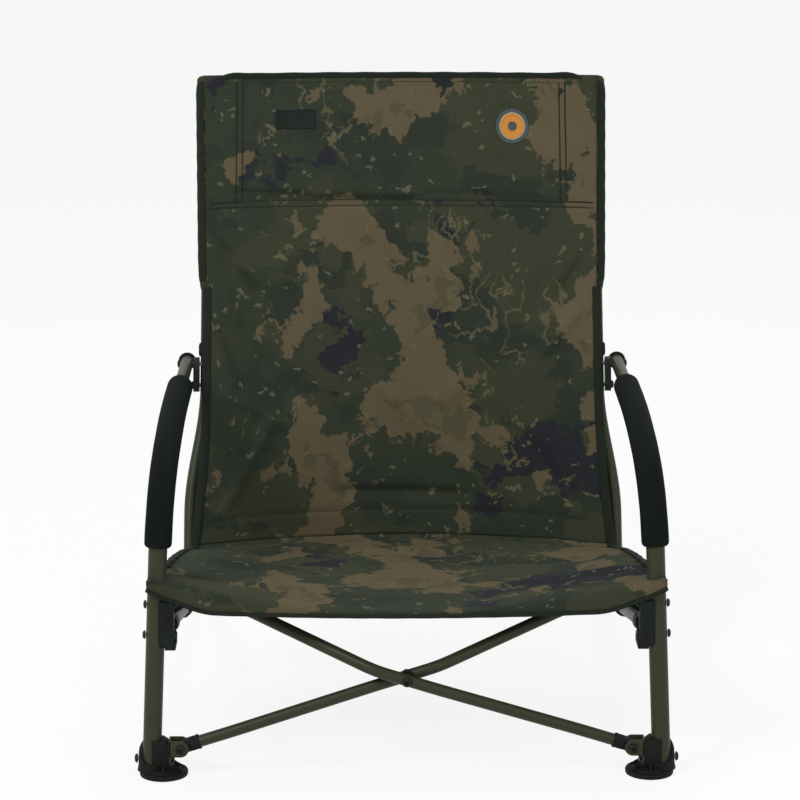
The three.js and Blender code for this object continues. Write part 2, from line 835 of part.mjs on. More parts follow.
// Rear saddle: a clamp on the post with an arm under the rear end of the rail
function makeRearSaddle() {
  const low = postAt(rearSaddleLow);
  const high = postAt(rearSaddleHigh);
  const clamp = sweep([low, high], postRadius + rearSaddleWall);
  const cradle = railAt(railRearDepth - rearSaddleDepth / 2);
  const arm = easedBox(
    railX - saddleReach,
    postMeet.x,
    railRear.y - rearSaddleDepth + gap,
    railRear.y + blockEdge,
    cradle.z - rearSaddleThick,
    cradle.z,
    blockEdge,
  );
  return cut(join(clamp, arm), postBore(), railTrough());
}

// Socket: a sleeve on the rear leg tube with an upright cup for the foot of the post
function makePostSocket() {
  const half = socketLength / 2;
  const meet = rearTubeFront.clone().addScaledVector(rearTubeWay, rearTubeFront.distanceTo(rearTubeMeet));
  const sleeve = sweep(
    [meet.clone().addScaledVector(rearTubeWay, -half), meet.clone().addScaledVector(rearTubeWay, half)],
    rearTubeRadius + socketWall,
  );
  const cupTop = postMeet.clone().addScaledVector(postWay, socketRise);
  const cup = sweep([postMeet, cupTop], postRadius + socketWall);
  return cut(join(sleeve, cup), rearTubeBore(), postBore(), boltHole(socketBoltPlace, inward));
}

function makeSocketBolt() {
  const half = postRadius + socketWall + gap;
  const place = new THREE.Vector3(socketBoltPlace.x + half, socketBoltPlace.y, socketBoltPlace.z);
  return fastener(place, inward, 2 * half, boltSize);
}

// Bracket plate between the post and the arm, with its two bolts
const bracketFoot = postAt(bracketLowHeight - bracketWidth / 2);
const bracketLowX = bracketFoot.x + postRadius + 2 * gap;
const bracketHighX = armRear.x - armNeckRadius - 2 * gap;
function makeBracket() {
  const half = bracketWidth / 2;
  const outline = new THREE.Shape();
  const tilt = Math.atan(postLeanShare);
  outline.absarc(bracketHighPlace.y, bracketHighPlace.z, half, -tilt, Math.PI - tilt, false);
  outline.absarc(bracketLow.y, bracketLow.z, half, Math.PI - tilt, 2 * Math.PI - tilt, false);
  const rounded = new THREE.Shape(outline.getPoints(boreSides / 2));
  return cut(sidePlate(rounded, bracketLowX, bracketHighX), bracketHole, boltHole(bracketLow, inward));
}

function makeBracketBolt(axis, outerX) {
  const place = new THREE.Vector3(outerX + gap, axis.y, axis.z);
  const innerX = axis.x - postRadius - gap;
  return fastener(place, inward, place.x - innerX, boltSize);
}

// Seat rail and its lug with two ears for the pin
const railTube = tube(railRoute, railRadius);
const railBore = () => {
  const start = railFront.clone().addScaledVector(railWay, -gap);
  const end = railRear.clone().addScaledVector(railWay, gap);
  return sweep([start, end], boreFor(railRadius, tubeSides));
};

function makeRailLug() {
  const half = lugLength / 2;
  const middle = railAt(lugDepth);
  const collar = sweep(
    [middle.clone().addScaledVector(railWay, -half), middle.clone().addScaledVector(railWay, half)],
    railRadius + gap + lugWall,
  );
  const outline = new THREE.Shape();
  outline.moveTo(railX - lugEarWidth / 2, middle.z);
  outline.lineTo(railX - lugEarWidth / 2, railPinHeight);
  outline.absarc(railX, railPinHeight, lugEarWidth / 2, Math.PI, 2 * Math.PI, false);
  outline.lineTo(railX + lugEarWidth / 2, middle.z);
  const ear = new THREE.Shape(outline.getPoints(boltSides));
  const inner = lugGap / 2;
  const outer = inner + lugEar;
  return cut(
    join(
      collar,
      frontPlate(ear, railPin.y - outer, railPin.y - inner),
      frontPlate(ear, railPin.y + inner, railPin.y + outer),
    ),
    railBore(),
    boltHole(railPin, rearward, railPinRadius),
  );
}

function makeRailPin() {
  const half = lugGap / 2 + lugEar + gap;
  const place = new THREE.Vector3(railPin.x, railPin.y - half, railPin.z);
  const size = {
    shank: railPinRadius,
    head: railPinHeadRadius,
    headHeight: railPinHeadHeight,
    tail: railPinHeadRadius,
    tailHeight: railPinHeadHeight,
  };
  return fastener(place, rearward, 2 * half, size);
}

// A plug on the end of a crossed tube: a sleeve on the tube and a flat tongue round the pin
function makeTubeEnd(place, turn, tongue, width, pin, socket, sleeve, sleeveLength) {
  const outline = new THREE.Shape();
  outline.moveTo(socket + tongue / 2, -tongue);
  outline.lineTo(socket + tongue / 2, tongue);
  outline.lineTo(0, tongue);
  outline.absarc(0, 0, tongue, Math.PI / 2, (3 * Math.PI) / 2, false);
  const flat = frontPlate(new THREE.Shape(outline.getPoints(boltSides)), -width / 2, width / 2);
  const start = new THREE.Vector3(socket - tubeWall - gap, 0, 0);
  const end = new THREE.Vector3(socket + sleeveLength, 0, 0);
  const round = sweep([start, end], sleeve);
  const seat = sweep(
    [new THREE.Vector3(socket, 0, 0), new THREE.Vector3(socket + crossStraight, 0, 0)],
    boreFor(crossRadius, tubeSides),
  );
  const local = cut(join(flat, round), seat, boltHole(new THREE.Vector3(), rearward, pin));
  const geometry = toGeometry(local).rotateY(turn).translate(place.x, place.y, place.z);
  return toSolid(geometry);
}

// Crossed tube: direction is -1 from the right foot to the left rail, and 1 the other way
function crossRoute(direction, offset) {
  const point = (along, depth) =>
    at(
      direction * (along * Math.cos(crossAngle) - footPinX),
      depth,
      footPinHeight + along * Math.sin(crossAngle),
    );
  const slopeShare = 2 * crossBendShare * (1 - crossBendShare);
  const ease = (from, to, depthFrom, depthTo) => {
    const points = [];
    for (let i = 0; i <= crossBendSteps; i++) {
      const share = (crossBendShare * i) / crossBendSteps;
      const blend = (share * share) / slopeShare;
      points.splice(
        i,
        0,
        point(from + (to - from) * share, depthFrom + (depthTo - depthFrom) * blend),
        point(to - (to - from) * share, depthTo - (depthTo - depthFrom) * blend),
      );
    }
    return points;
  };
  return [
    point(crossSocket + gap, 0),
    ...ease(crossStraight, crossMiddle - crossFlat, 0, offset),
    ...ease(crossMiddle + crossFlat, crossLength - crossStraight, offset, lugDepth),
    point(crossLength - eyeSocket - gap, lugDepth),
  ];
}

const rivetPlace = at(0, -crossOffset - crossRadius - gap, crossHeight);
const rivetHole = () => boltHole(rivetPlace, rearward, rivetRadius);
const crossTube = (direction, offset) => cut(tube(crossRoute(direction, offset), crossRadius), rivetHole());

function makeRivet() {
  const size = {
    shank: rivetRadius,
    head: rivetHeadRadius,
    headHeight: rivetHeadHeight,
    tail: rivetHeadRadius,
    tailHeight: rivetHeadHeight,
  };
  return fastener(rivetPlace, rearward, 2 * (crossOffset + crossRadius + gap), size);
}

function makeSpacer() {
  const half = spacerThickness / 2;
  const ends = [at(0, -half, crossHeight), at(0, half, crossHeight)];
  return sweep(ends, spacerRadius, tubeSides, boreFor(rivetRadius));
}

// Webbing band on the post
function makeBand() {
  const middle = lengthWhere(postRoute, "z", bandHeight);
  const route = stretch(postRoute, middle - bandWidth / 2, middle + bandWidth / 2);
  return cut(sweep(route, postRadius + gap + bandThick), postBore());
}

// Seat cloth: the sheet, its front apron, the loops round the legs and the sleeves on the rails
function makeSeatCloth() {
  const top = sheet((u, v) => seatPoint(2 * u - 1, v), seatColumns, seatRows, cloth);
  const apronX = sideTubeX - apronInset;
  const apron = sheet(
    (u, v) => {
      const x = apronX * (2 * u - 1);
      const high = seatPoint(x / seatEdgeX(0), 0).z;
      return at(x, cloth / 2, apronBottomHeight + (high - apronBottomHeight) * v);
    },
    seatColumns,
    1,
    cloth,
  );
  const loopRadius = legRadius + clothGap + cloth;
  const loop = (side) => {
    const ends = [legAt(legLoopLow), legAt(legLoopHigh)].map(
      (end) => new THREE.Vector3(side * end.x, end.y, end.z),
    );
    return sweep(ends, loopRadius);
  };
  const legRoom = (side) => {
    const ends = [legAt(legLoopLow - overrun), legAt(legLoopHigh + overrun)];
    const placed = ends.map((end) => new THREE.Vector3(side * end.x, end.y, end.z));
    return sweep(placed, (legRadius + clothGap) / Math.cos(Math.PI / tubeSides));
  };
  let whole = join(top, apron);
  for (const side of [-1, 1]) whole = join(whole, loop(side), ...railSleeves(side));
  for (const side of [-1, 1]) whole = cut(whole, legRoom(side), railRoom(side));
  return whole;
}

const sleeveSpans = [
  [railFrontDepth + saddleDepth + sleeveEnd / 4, lugDepth - lugLength / 2 - sleeveEnd / 2],
  [lugDepth + lugLength / 2 + sleeveEnd / 2, railRearDepth - rearSaddleDepth - sleeveEnd],
];

// A sleeve is a loop round the rail, sewn to the sheet along a web
function railSleeves(side) {
  return sleeveSpans.map(([from, to]) => {
    const ends = [railAt(from), railAt(to)].map((end) => new THREE.Vector3(side * end.x, end.y, end.z));
    const loop = sweep(ends, railRadius + clothGap + cloth);
    const outline = [];
    const steps = 6;
    for (let i = 0; i <= steps; i++) {
      const depth = from + ((to - from) * i) / steps;
      outline.push(new THREE.Vector2(frontPlane + depth, seatOver(railX, depth)));
    }
    const low = [railAt(to), railAt(from)].map((end) => new THREE.Vector2(end.y, end.z));
    const webShape = new THREE.Shape([...outline, ...low]);
    const web = sidePlate(webShape, side * railX - cloth / 2, side * railX + cloth / 2);
    return join(loop, web);
  });
}

function railRoom(side) {
  const start = railFront.clone().addScaledVector(railWay, -overrun);
  const end = railRear.clone().addScaledVector(railWay, overrun);
  const ends = [start, end].map((place) => new THREE.Vector3(side * place.x, place.y, place.z));
  return sweep(ends, (railRadius + clothGap) / Math.cos(Math.PI / tubeSides));
}

// Back cloth: the sheet, and a pocket round each post from the waist to the top
function makeBackCloth() {
  const panel = sheet((u, v) => backPoint(2 * u - 1, v), backColumns, backRows, cloth);
  const waist = lengthWhere(postRoute, "z", postWaistHeight);
  const tip = lengthWhere(postRoute, "z", postTopHeight);
  const pocketRoute = stretch(postRoute, waist, tip);
  pocketRoute[pocketRoute.length - 1].addScaledVector(postEndWay, clothGap + cloth);
  const radius = postRadius + clothGap + cloth;
  const mirror = (points) => points.map((point) => new THREE.Vector3(-point.x, point.y, point.z));
  const bore = (postRadius + clothGap) / Math.cos(Math.PI / tubeSides);
  const pockets = [pocketRoute, mirror(pocketRoute)].map((route) => sweep(route, radius));
  const rooms = [postBoreRoute, mirror(postBoreRoute)].map((route) => sweep(route, bore));
  return cut(join(panel, ...pockets), ...rooms);
}

// Assembly: the right side is built, and the left side mirrors it
const chair = new THREE.Group();
const rightSide = new THREE.Group();
const leftSide = new THREE.Group();
leftSide.scale.x = -1;
chair.add(rightSide, leftSide);

function addMesh(group, name, geometry, material) {
  const mesh = new THREE.Mesh(geometry, material);
  mesh.name = name;
  group.add(mesh);
}

function addPair(name, solid, material) {
  const geometry = toGeometry(solid);
  addMesh(rightSide, name + "_right", geometry, material);
  addMesh(leftSide, name + "_left", geometry, material);
}

addPair("front_leg_arm", armTube, oliveCoat);
addPair("arm_grip", makeGrip(), foam);
addPair("arm_end_cap", makeArmCap(), greyPlastic);
addPair("back_post", postTube, oliveCoat);
addPair("rear_leg_tube", rearTube, oliveCoat);
addPair("front_foot", makeFrontFoot(), blackPlastic);
addPair("front_foot_bolt", makeFootBolt(), blackSteel);
addPair("rear_foot", makeRearFoot(), blackPlastic);
addPair("foot_clevis", makeClevis(), oliveCoat);
addPair("foot_pin", makeFootPin(), blackSteel);
addPair("saddle_block", makeSaddleBlock(), blackPlastic);
addPair("block_bolt_upper", makeBlockBolt(blockBoltHeights[0]), blackSteel);
addPair("block_bolt_lower", makeBlockBolt(blockBoltHeights[1]), blackSteel);
addPair("rear_saddle", makeRearSaddle(), blackPlastic);
addPair("post_socket", makePostSocket(), blackPlastic);
addPair("socket_bolt", makeSocketBolt(), blackSteel);
addPair("arm_bracket", makeBracket(), blackSteel);
const bracketOuterX = armRear.x + armNeckRadius;
addPair("bracket_bolt_upper", makeBracketBolt(bracketHighPlace, bracketOuterX), blackSteel);
addPair("bracket_bolt_lower", makeBracketBolt(bracketLow, bracketHighX), blackSteel);
addPair("post_band", makeBand(), webbing);
addPair("seat_rail", railTube, oliveCoat);
addPair("rail_lug", makeRailLug(), oliveCoat);
addPair("rail_pin", makeRailPin(), blackSteel);

const footEnd = makeTubeEnd(
  footPin,
  Math.PI + crossAngle,
  crossRadius,
  tongueWidth,
  pinRadius,
  crossSocket,
  crossCapRadius,
  crossCapLength,
);
const railEnd = makeTubeEnd(
  railPin,
  Math.PI - crossAngle,
  eyeRadius,
  eyeWidth,
  railPinRadius,
  eyeSocket,
  eyeSleeve,
  eyeSleeveLength,
);
addPair("foot_tube_end", footEnd, blackPlastic);
addPair("rail_tube_end", railEnd, blackPlastic);

addMesh(chair, "cross_tube_front", toGeometry(crossTube(-1, -crossOffset)), oliveCoat);
addMesh(chair, "cross_tube_rear", toGeometry(crossTube(1, crossOffset)), oliveCoat);
addMesh(chair, "cross_rivet", toGeometry(makeRivet()), blackSteel);
addMesh(chair, "cross_spacer", toGeometry(makeSpacer()), blackPlastic);
addMesh(chair, "back_sling", toGeometry(makeBackCloth()), camoCloth);
addMesh(chair, "seat_sling", toGeometry(makeSeatCloth()), camoCloth);

export default chair;
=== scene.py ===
import math

import bmesh
import bpy
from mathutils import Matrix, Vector, noise


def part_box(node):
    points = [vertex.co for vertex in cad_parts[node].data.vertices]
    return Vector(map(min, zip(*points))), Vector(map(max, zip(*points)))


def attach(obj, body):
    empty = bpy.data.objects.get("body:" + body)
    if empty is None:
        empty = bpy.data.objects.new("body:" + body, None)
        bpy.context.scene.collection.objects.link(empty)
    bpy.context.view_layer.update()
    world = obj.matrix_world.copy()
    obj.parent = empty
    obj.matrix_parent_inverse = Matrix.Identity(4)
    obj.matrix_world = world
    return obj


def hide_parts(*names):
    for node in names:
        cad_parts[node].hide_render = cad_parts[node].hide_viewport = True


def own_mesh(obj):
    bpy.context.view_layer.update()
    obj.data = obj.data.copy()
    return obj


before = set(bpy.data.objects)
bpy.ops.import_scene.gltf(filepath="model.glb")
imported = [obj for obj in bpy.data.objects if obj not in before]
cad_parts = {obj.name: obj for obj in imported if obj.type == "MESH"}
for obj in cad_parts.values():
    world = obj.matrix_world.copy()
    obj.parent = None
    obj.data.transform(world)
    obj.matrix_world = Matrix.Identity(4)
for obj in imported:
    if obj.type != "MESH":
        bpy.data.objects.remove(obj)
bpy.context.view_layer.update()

# Stage: the camera stands three metres in front of the front feet, a little above the chair, with a
# long lens. The floor and the world are pale, and three broad lamps give plain soft light.
MM = 0.001
FRONT_PLANE = -0.325
CAMERA_AWAY = 3.0
CAMERA_HEIGHT = 1.1
CAMERA_LEFT = -0.0423
CAMERA_PITCH = math.radians(12.9)
CAMERA_TURN = math.radians(-0.667)
CAMERA_LENS = 132.3
CAMERA_SENSOR = 36
LAMP_AIM = Vector((0, 0, 0.35))
PALE = (0.93, 0.93, 0.93, 1)
WORLD_LIGHT = 0.4
FLOOR_HALF = 22.0
FLOOR_SHARE = 0.85
FLOOR_GLOW = 1.1

camera_data = bpy.data.cameras.new("camera")
camera_data.sensor_width = CAMERA_SENSOR
camera_data.lens = CAMERA_LENS
camera = bpy.data.objects.new("camera", camera_data)
camera.location = (CAMERA_LEFT, FRONT_PLANE - CAMERA_AWAY, CAMERA_HEIGHT)
camera.rotation_euler = (math.pi / 2 - CAMERA_PITCH, 0, CAMERA_TURN)
bpy.context.scene.collection.objects.link(camera)
bpy.context.scene.camera = camera
bpy.context.scene.view_settings.view_transform = "Standard"


def add_lamp(name, place, watts, size):
    data = bpy.data.lights.new(name, "AREA")
    data.energy = watts
    data.shape = "DISK"
    data.size = size
    lamp = bpy.data.objects.new(name, data)
    lamp.location = place
    aim = LAMP_AIM - Vector(place)
    lamp.rotation_euler = aim.to_track_quat("-Z", "Y").to_euler()
    bpy.context.scene.collection.objects.link(lamp)


add_lamp("key_lamp", (-1.7, -1.9, 2.5), 44, 1.2)
add_lamp("fill_lamp", (1.9, -2.2, 1.3), 12, 1.8)
add_lamp("top_lamp", (0.3, 1.2, 2.8), 22, 1.6)


class Link:
    """A socket that takes part in sums: each operator adds a Math node."""

    def __init__(self, tree, socket):
        self.tree = tree
        self.socket = socket

    def math(self, operation, *others):
        node = self.tree.nodes.new("ShaderNodeMath")
        node.operation = operation
        for place, value in enumerate((self, *others)):
            if isinstance(value, Link):
                self.tree.links.new(value.socket, node.inputs[place])
            else:
                node.inputs[place].default_value = value
        return Link(self.tree, node.outputs[0])

    def __add__(self, other):
        return self.math("ADD", other)

    __radd__ = __add__

    def __sub__(self, other):
        return self.math("SUBTRACT", other)

    def __rsub__(self, other):
        return self * -1 + other

    def __mul__(self, other):
        return self.math("MULTIPLY", other)

    __rmul__ = __mul__

    def step(self, edge, width):
        """0 below the edge and 1 above it, over a soft width"""
        node = self.tree.nodes.new("ShaderNodeMapRange")
        node.interpolation_type = "SMOOTHSTEP"
        self.tree.links.new(self.socket, node.inputs["Value"])
        node.inputs["From Min"].default_value = edge - width / 2
        node.inputs["From Max"].default_value = edge + width / 2
        return Link(self.tree, node.outputs[0])


class Shader:
    """A tree of shader nodes, emptied first, whose nodes come from one method."""

    def __init__(self, tree):
        self.tree = tree
        self.tree.nodes.clear()

    def feed(self, socket, value):
        if isinstance(value, Link):
            self.tree.links.new(value.socket, socket)
        else:
            socket.default_value = value

    def node(self, kind, settings=None, sockets=None, output=0):
        node = self.tree.nodes.new(kind)
        for key, value in (settings or {}).items():
            setattr(node, key, value)
        for key, value in (sockets or {}).items():
            self.feed(node.inputs[key], value)
        return Link(self.tree, node.outputs[output])


class Finish(Shader):
    """A material, with the patterns that the finishes share."""

    def __init__(self, name):
        self.material = bpy.data.materials.new(name)
        self.material.use_nodes = True
        super().__init__(self.material.node_tree)

    def place(self, sheet_map=None):
        if sheet_map:
            return self.node("ShaderNodeUVMap", {"uv_map": sheet_map})
        return self.node("ShaderNodeTexCoord", output="Object")

    def mapped(self, vector, scale=(1, 1, 1), shift=(0, 0, 0)):
        return self.node("ShaderNodeMapping", None, {"Vector": vector, "Scale": scale, "Location": shift})

    def grain(self, vector, scale, detail=3.0, rough=0.5, output=0):
        sockets = {"Vector": vector, "Scale": scale, "Detail": detail, "Roughness": rough}
        return self.node("ShaderNodeTexNoise", None, sockets, output)

    def blend(self, mask, low, high):
        """One colour where the mask is 0 and another where it is 1. A Mix node has a set of sockets for
        each kind of value, and those of a colour are 0, 6 and 7, with output 2."""
        node = self.tree.nodes.new("ShaderNodeMix")
        node.data_type = "RGBA"
        self.feed(node.inputs[0], mask)
        self.feed(node.inputs[6], low)
        self.feed(node.inputs[7], high)
        return Link(self.tree, node.outputs[2])

    def finish(self, colour, roughness, height, depth, specular, metallic=0.0):
        normal = self.node("ShaderNodeBump", None, {"Height": height, "Strength": 1.0, "Distance": depth})
        sockets = {
            "Base Color": colour,
            "Roughness": roughness,
            "Metallic": metallic,
            "Specular IOR Level": specular,
            "Normal": normal,
        }
        shader = self.node("ShaderNodeBsdfPrincipled", None, sockets)
        out = self.tree.nodes.new("ShaderNodeOutputMaterial")
        self.tree.links.new(shader.socket, out.inputs["Surface"])
        return self.material


def tone(red, green, blue):
    """A colour as it shows, from 0 to 255, in the linear values that shaders use"""
    shown = [channel / 255 for channel in (red, green, blue)]
    return (*[((c + 0.055) / 1.055) ** 2.4 if c > 0.04045 else c / 12.92 for c in shown], 1)


def camera_rays(shader):
    """1 for what the camera sees, straight or in metal and glass, and 0 for other light"""
    path = shader.tree.nodes.new("ShaderNodeLightPath")
    kinds = ("Is Camera Ray", "Is Glossy Ray", "Is Transmission Ray")
    seen = [Link(shader.tree, path.outputs[kind]) for kind in kinds]
    return (seen[0] + seen[1] + seen[2]).math("MINIMUM", 1.0)


world = bpy.data.worlds.new("pale_room")
bpy.context.scene.world = world
world.use_nodes = True
room = Shader(world.node_tree)
room_strength = camera_rays(room) * (1 - WORLD_LIGHT) + WORLD_LIGHT
room_light = room.node("ShaderNodeBackground", None, {"Color": PALE, "Strength": room_strength})
room_out = room.tree.nodes.new("ShaderNodeOutputWorld")
room.tree.links.new(room_light.socket, room_out.inputs["Surface"])

floor_finish = Finish("pale_floor")
floor_matt = floor_finish.node("ShaderNodeBsdfDiffuse", None, {"Color": PALE})
floor_glow = floor_finish.node("ShaderNodeEmission", None, {"Color": PALE, "Strength": FLOOR_GLOW})
floor_mix = floor_finish.tree.nodes.new("ShaderNodeMixShader")
floor_finish.feed(floor_mix.inputs[0], camera_rays(floor_finish) * FLOOR_SHARE)
floor_finish.feed(floor_mix.inputs[1], floor_matt)
floor_finish.feed(floor_mix.inputs[2], floor_glow)
floor_out = floor_finish.tree.nodes.new("ShaderNodeOutputMaterial")
floor_finish.tree.links.new(floor_mix.outputs[0], floor_out.inputs["Surface"])
floor_mesh = bpy.data.meshes.new("floor")
floor_corners = [(-FLOOR_HALF, -FLOOR_HALF, 0), (FLOOR_HALF, -FLOOR_HALF, 0)]
floor_corners += [(FLOOR_HALF, FLOOR_HALF, 0), (-FLOOR_HALF, FLOOR_HALF, 0)]
floor_mesh.from_pydata(floor_corners, [], [(0, 1, 2, 3)])
floor_mesh.materials.append(floor_finish.material)
floor = bpy.data.objects.new("floor", floor_mesh)
bpy.context.scene.collection.objects.link(floor)

# Tubes: round steel tube with a dark olive powder coat, bent cold and cut to length. The coat has a
# fine orange peel, thins a little in colour along the tube and carries faint rubs and dust.
SIDES = (("left", -1, "root"), ("right", 1, "right_frame"))
TUBE_SIDES = 36
OLIVE = tone(46, 52, 34)
OLIVE_WORN = tone(68, 74, 50)
LEG_RADIUS = 10 * MM
NECK_RADIUS = 7.5 * MM
NECK_START = 297 * MM
POST_RADIUS = 7.5 * MM
REAR_RADIUS = 8 * MM
SHARP_ANGLE = math.radians(38)


def olive_coat():
    coat = Finish("olive_coat")
    place = coat.place()
    cloud = coat.grain(place, 9.0, 4.0)
    peel = coat.grain(place, 900.0, 2.0)
    rubs = coat.grain(coat.mapped(place, (1, 1, 0.25)), 160.0, 5.0, 0.7).step(0.72, 0.06)
    colour = coat.blend(cloud * 0.35, OLIVE, OLIVE_WORN)
    colour = coat.blend(rubs * 0.4, colour, OLIVE_WORN)
    return coat.finish(colour, cloud * 0.12 + 0.36, peel, 0.00005, specular=0.2)


olive = olive_coat()


def point(x, depth, height):
    return Vector((x * MM, FRONT_PLANE + depth * MM, height * MM))


def bezier(a, b, c, d, count):
    places = []
    for i in range(count + 1):
        t = i / count
        s = 1 - t
        places.append(a * s**3 + b * (3 * s * s * t) + c * (3 * s * t * t) + d * t**3)
    return places


def ring_faces(count, sides):
    """Faces of a skin over rings of points, and a cap at each end"""
    faces = []
    for i in range(count - 1):
        for j in range(sides):
            k = (j + 1) % sides
            faces.append((i * sides + j, i * sides + k, (i + 1) * sides + k, (i + 1) * sides + j))
    faces.append(tuple(reversed(range(sides))))
    faces.append(tuple((count - 1) * sides + j for j in range(sides)))
    return faces


def rings(route, radii, sides):
    """Points of the rings of a tube along a route, and its faces, with closed ends"""
    verts = []
    way = (route[1] - route[0]).normalized()
    side = way.orthogonal().normalized()
    for i, centre in enumerate(route):
        before = route[max(i - 1, 0)]
        after = route[min(i + 1, len(route) - 1)]
        turn = way.rotation_difference((after - before).normalized())
        way = (after - before).normalized()
        side = (turn @ side).normalized()
        up = way.cross(side)
        for j in range(sides):
            angle = 2 * math.pi * j / sides
            verts.append(centre + (side * math.cos(angle) + up * math.sin(angle)) * radii[i])
    return verts, ring_faces(len(route), sides)


def make_piece(name, verts, faces, material, body, replaced=()):
    mesh = bpy.data.meshes.new(name)
    mesh.from_pydata([tuple(v) for v in verts], [], faces)
    mesh.materials.append(material)
    shape = bmesh.new()
    shape.from_mesh(mesh)
    bmesh.ops.recalc_face_normals(shape, faces=shape.faces)
    shape.to_mesh(mesh)
    shape.free()
    mesh.shade_smooth()
    mesh.set_sharp_from_angle(angle=SHARP_ANGLE)
    piece = bpy.data.objects.new(name, mesh)
    bpy.context.scene.collection.objects.link(piece)
    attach(piece, body)
    if replaced:
        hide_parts(*replaced)
    return piece


def add_tube(name, route, radii, body, node):
    verts, faces = rings(route, radii, TUBE_SIDES)
    return make_piece(name, verts, faces, olive, body, (node,))


def mirrored(route, side):
    return [Vector((p.x * side, p.y, p.z)) for p in route]


BEND_REACH = 80 * MM
BEND_STEPS = 28
ARM_STEPS = 14
LEG_STEP = 4 * MM
LEG_FOOT_X = 274.5
LEG_FOOT = 12
leg_foot = point(LEG_FOOT_X, 0, LEG_FOOT)
leg_top = point(264.5, 5, 240)
arm_front = point(258, 150, 350)
arm_rear = point(255, 414, 365.6)
leg_way = (leg_top - leg_foot).normalized()
arm_front_way = Vector((0, 1, 0.125)).normalized()
arm_rear_way = Vector((0, 1, 0.03)).normalized()
arm_handle = (arm_front - arm_rear).length / 3
bend_route = bezier(
    leg_top, leg_top + leg_way * BEND_REACH, arm_front - arm_front_way * BEND_REACH, arm_front, BEND_STEPS
)
arm_leaving = arm_front + arm_front_way * arm_handle
arm_arriving = arm_rear - arm_rear_way * arm_handle
arm_route = bezier(arm_front, arm_leaving, arm_arriving, arm_rear, ARM_STEPS)
coarse_route = [leg_foot, leg_foot.lerp(leg_top, 0.5)] + bend_route + arm_route[1:]
leg_route = []
for a, b in zip(coarse_route, coarse_route[1:]):
    parts = max(1, round((b - a).length / LEG_STEP))
    leg_route.extend(a.lerp(b, i / parts) for i in range(parts))
leg_route.append(arm_rear)
leg_radii = [LEG_RADIUS if p.y < FRONT_PLANE + NECK_START else NECK_RADIUS for p in leg_route]
REAR_X = 256
REAR_TOP_DEPTH = 18
REAR_TOP = 163
REAR_FOOT_DEPTH = 648
REAR_FOOT = 15
REAR_STEPS = 8
REAR_FALL = (REAR_TOP - REAR_FOOT) / (REAR_FOOT_DEPTH - REAR_TOP_DEPTH)
POST_DEPTH = 286
POST_MEET = REAR_TOP - REAR_FALL * (POST_DEPTH - REAR_TOP_DEPTH)
POST_LEAN = 0.4535
POST_FOOT = 111
POST_STEPS = 60
BEND_LOW = 200
BEND_HIGH = 340
WAIST = 447
POST_LOW_X = 249
WAIST_X = 231.3
POST_TOP_X = 236.5
POST_TOP = 683


def post_depth(height):
    return POST_DEPTH + POST_LEAN * (height - POST_MEET)


def post_x(height):
    """The post steps in above the seat and spreads a little towards its top"""
    if height <= BEND_LOW:
        return POST_LOW_X
    if height <= BEND_HIGH:
        share = (height - BEND_LOW) / (BEND_HIGH - BEND_LOW)
        return POST_LOW_X - (POST_LOW_X - WAIST_X) * (1 - math.cos(math.pi * share)) / 2
    if height <= WAIST:
        return WAIST_X
    return WAIST_X + (POST_TOP_X - WAIST_X) * (height - WAIST) / (POST_TOP - WAIST)


def post_at(height):
    return point(post_x(height), post_depth(height), height)


post_route = [post_at(POST_FOOT + (POST_TOP - POST_FOOT) * i / POST_STEPS) for i in range(POST_STEPS + 1)]
rear_start = point(REAR_X, REAR_TOP_DEPTH, REAR_TOP)
rear_end = point(REAR_X, REAR_FOOT_DEPTH, REAR_FOOT)
rear_route = [rear_start.lerp(rear_end, i / REAR_STEPS) for i in range(REAR_STEPS + 1)]

for word, side, body in SIDES:
    add_tube("leg_arm_tube_" + word, mirrored(leg_route, side), leg_radii, body, "front_leg_arm_" + word)
    post_radii = [POST_RADIUS] * len(post_route)
    add_tube("post_tube_" + word, mirrored(post_route, side), post_radii, body, "back_post_" + word)
    rear_radii = [REAR_RADIUS] * len(rear_route)
    add_tube("rear_tube_" + word, mirrored(rear_route, side), rear_radii, body, "rear_leg_tube_" + word)

# Crossed tubes and seat rails: the two long tubes cross under the seat on one rivet, and lean back to
# the pins under the rails. The rails carry the seat cloth.
CROSS_RADIUS = 6.5 * MM
RAIL_RADIUS = 6.5 * MM
FOOT_PIN = (243.0, 0.0, 31.0)
RAIL_PIN = (229.5, 75.0, 179.772)
CROSS_OFFSET = 7.6
CROSS_STEPS = 56
CROSS_FOOT_END = 15.3
CROSS_RAIL_END = 12.3
STRAIGHT_AT_PIN = 42
STRAIGHT_AT_RIVET = 22
CROSS_BEND_SHARE = 0.16
RAIL_END_LEAN = 0.9 * MM
cross_angle = math.atan2(RAIL_PIN[2] - FOOT_PIN[2], FOOT_PIN[0] + RAIL_PIN[0])
cross_length = (FOOT_PIN[0] + RAIL_PIN[0]) / math.cos(cross_angle)
cross_middle = FOOT_PIN[0] / math.cos(cross_angle)
low_rail, high_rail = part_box("seat_rail_right")


def clamped(share):
    return min(max(share, 0), 1)


def eased(share):
    """From 0 to 1 in a straight line with a soft bend at each end"""
    bend = CROSS_BEND_SHARE
    share = clamped(share)
    if share < bend:
        return share * share / (2 * bend * (1 - bend))
    if share > 1 - bend:
        return 1 - (1 - share) ** 2 / (2 * bend * (1 - bend))
    return (share - bend / 2) / (1 - bend)


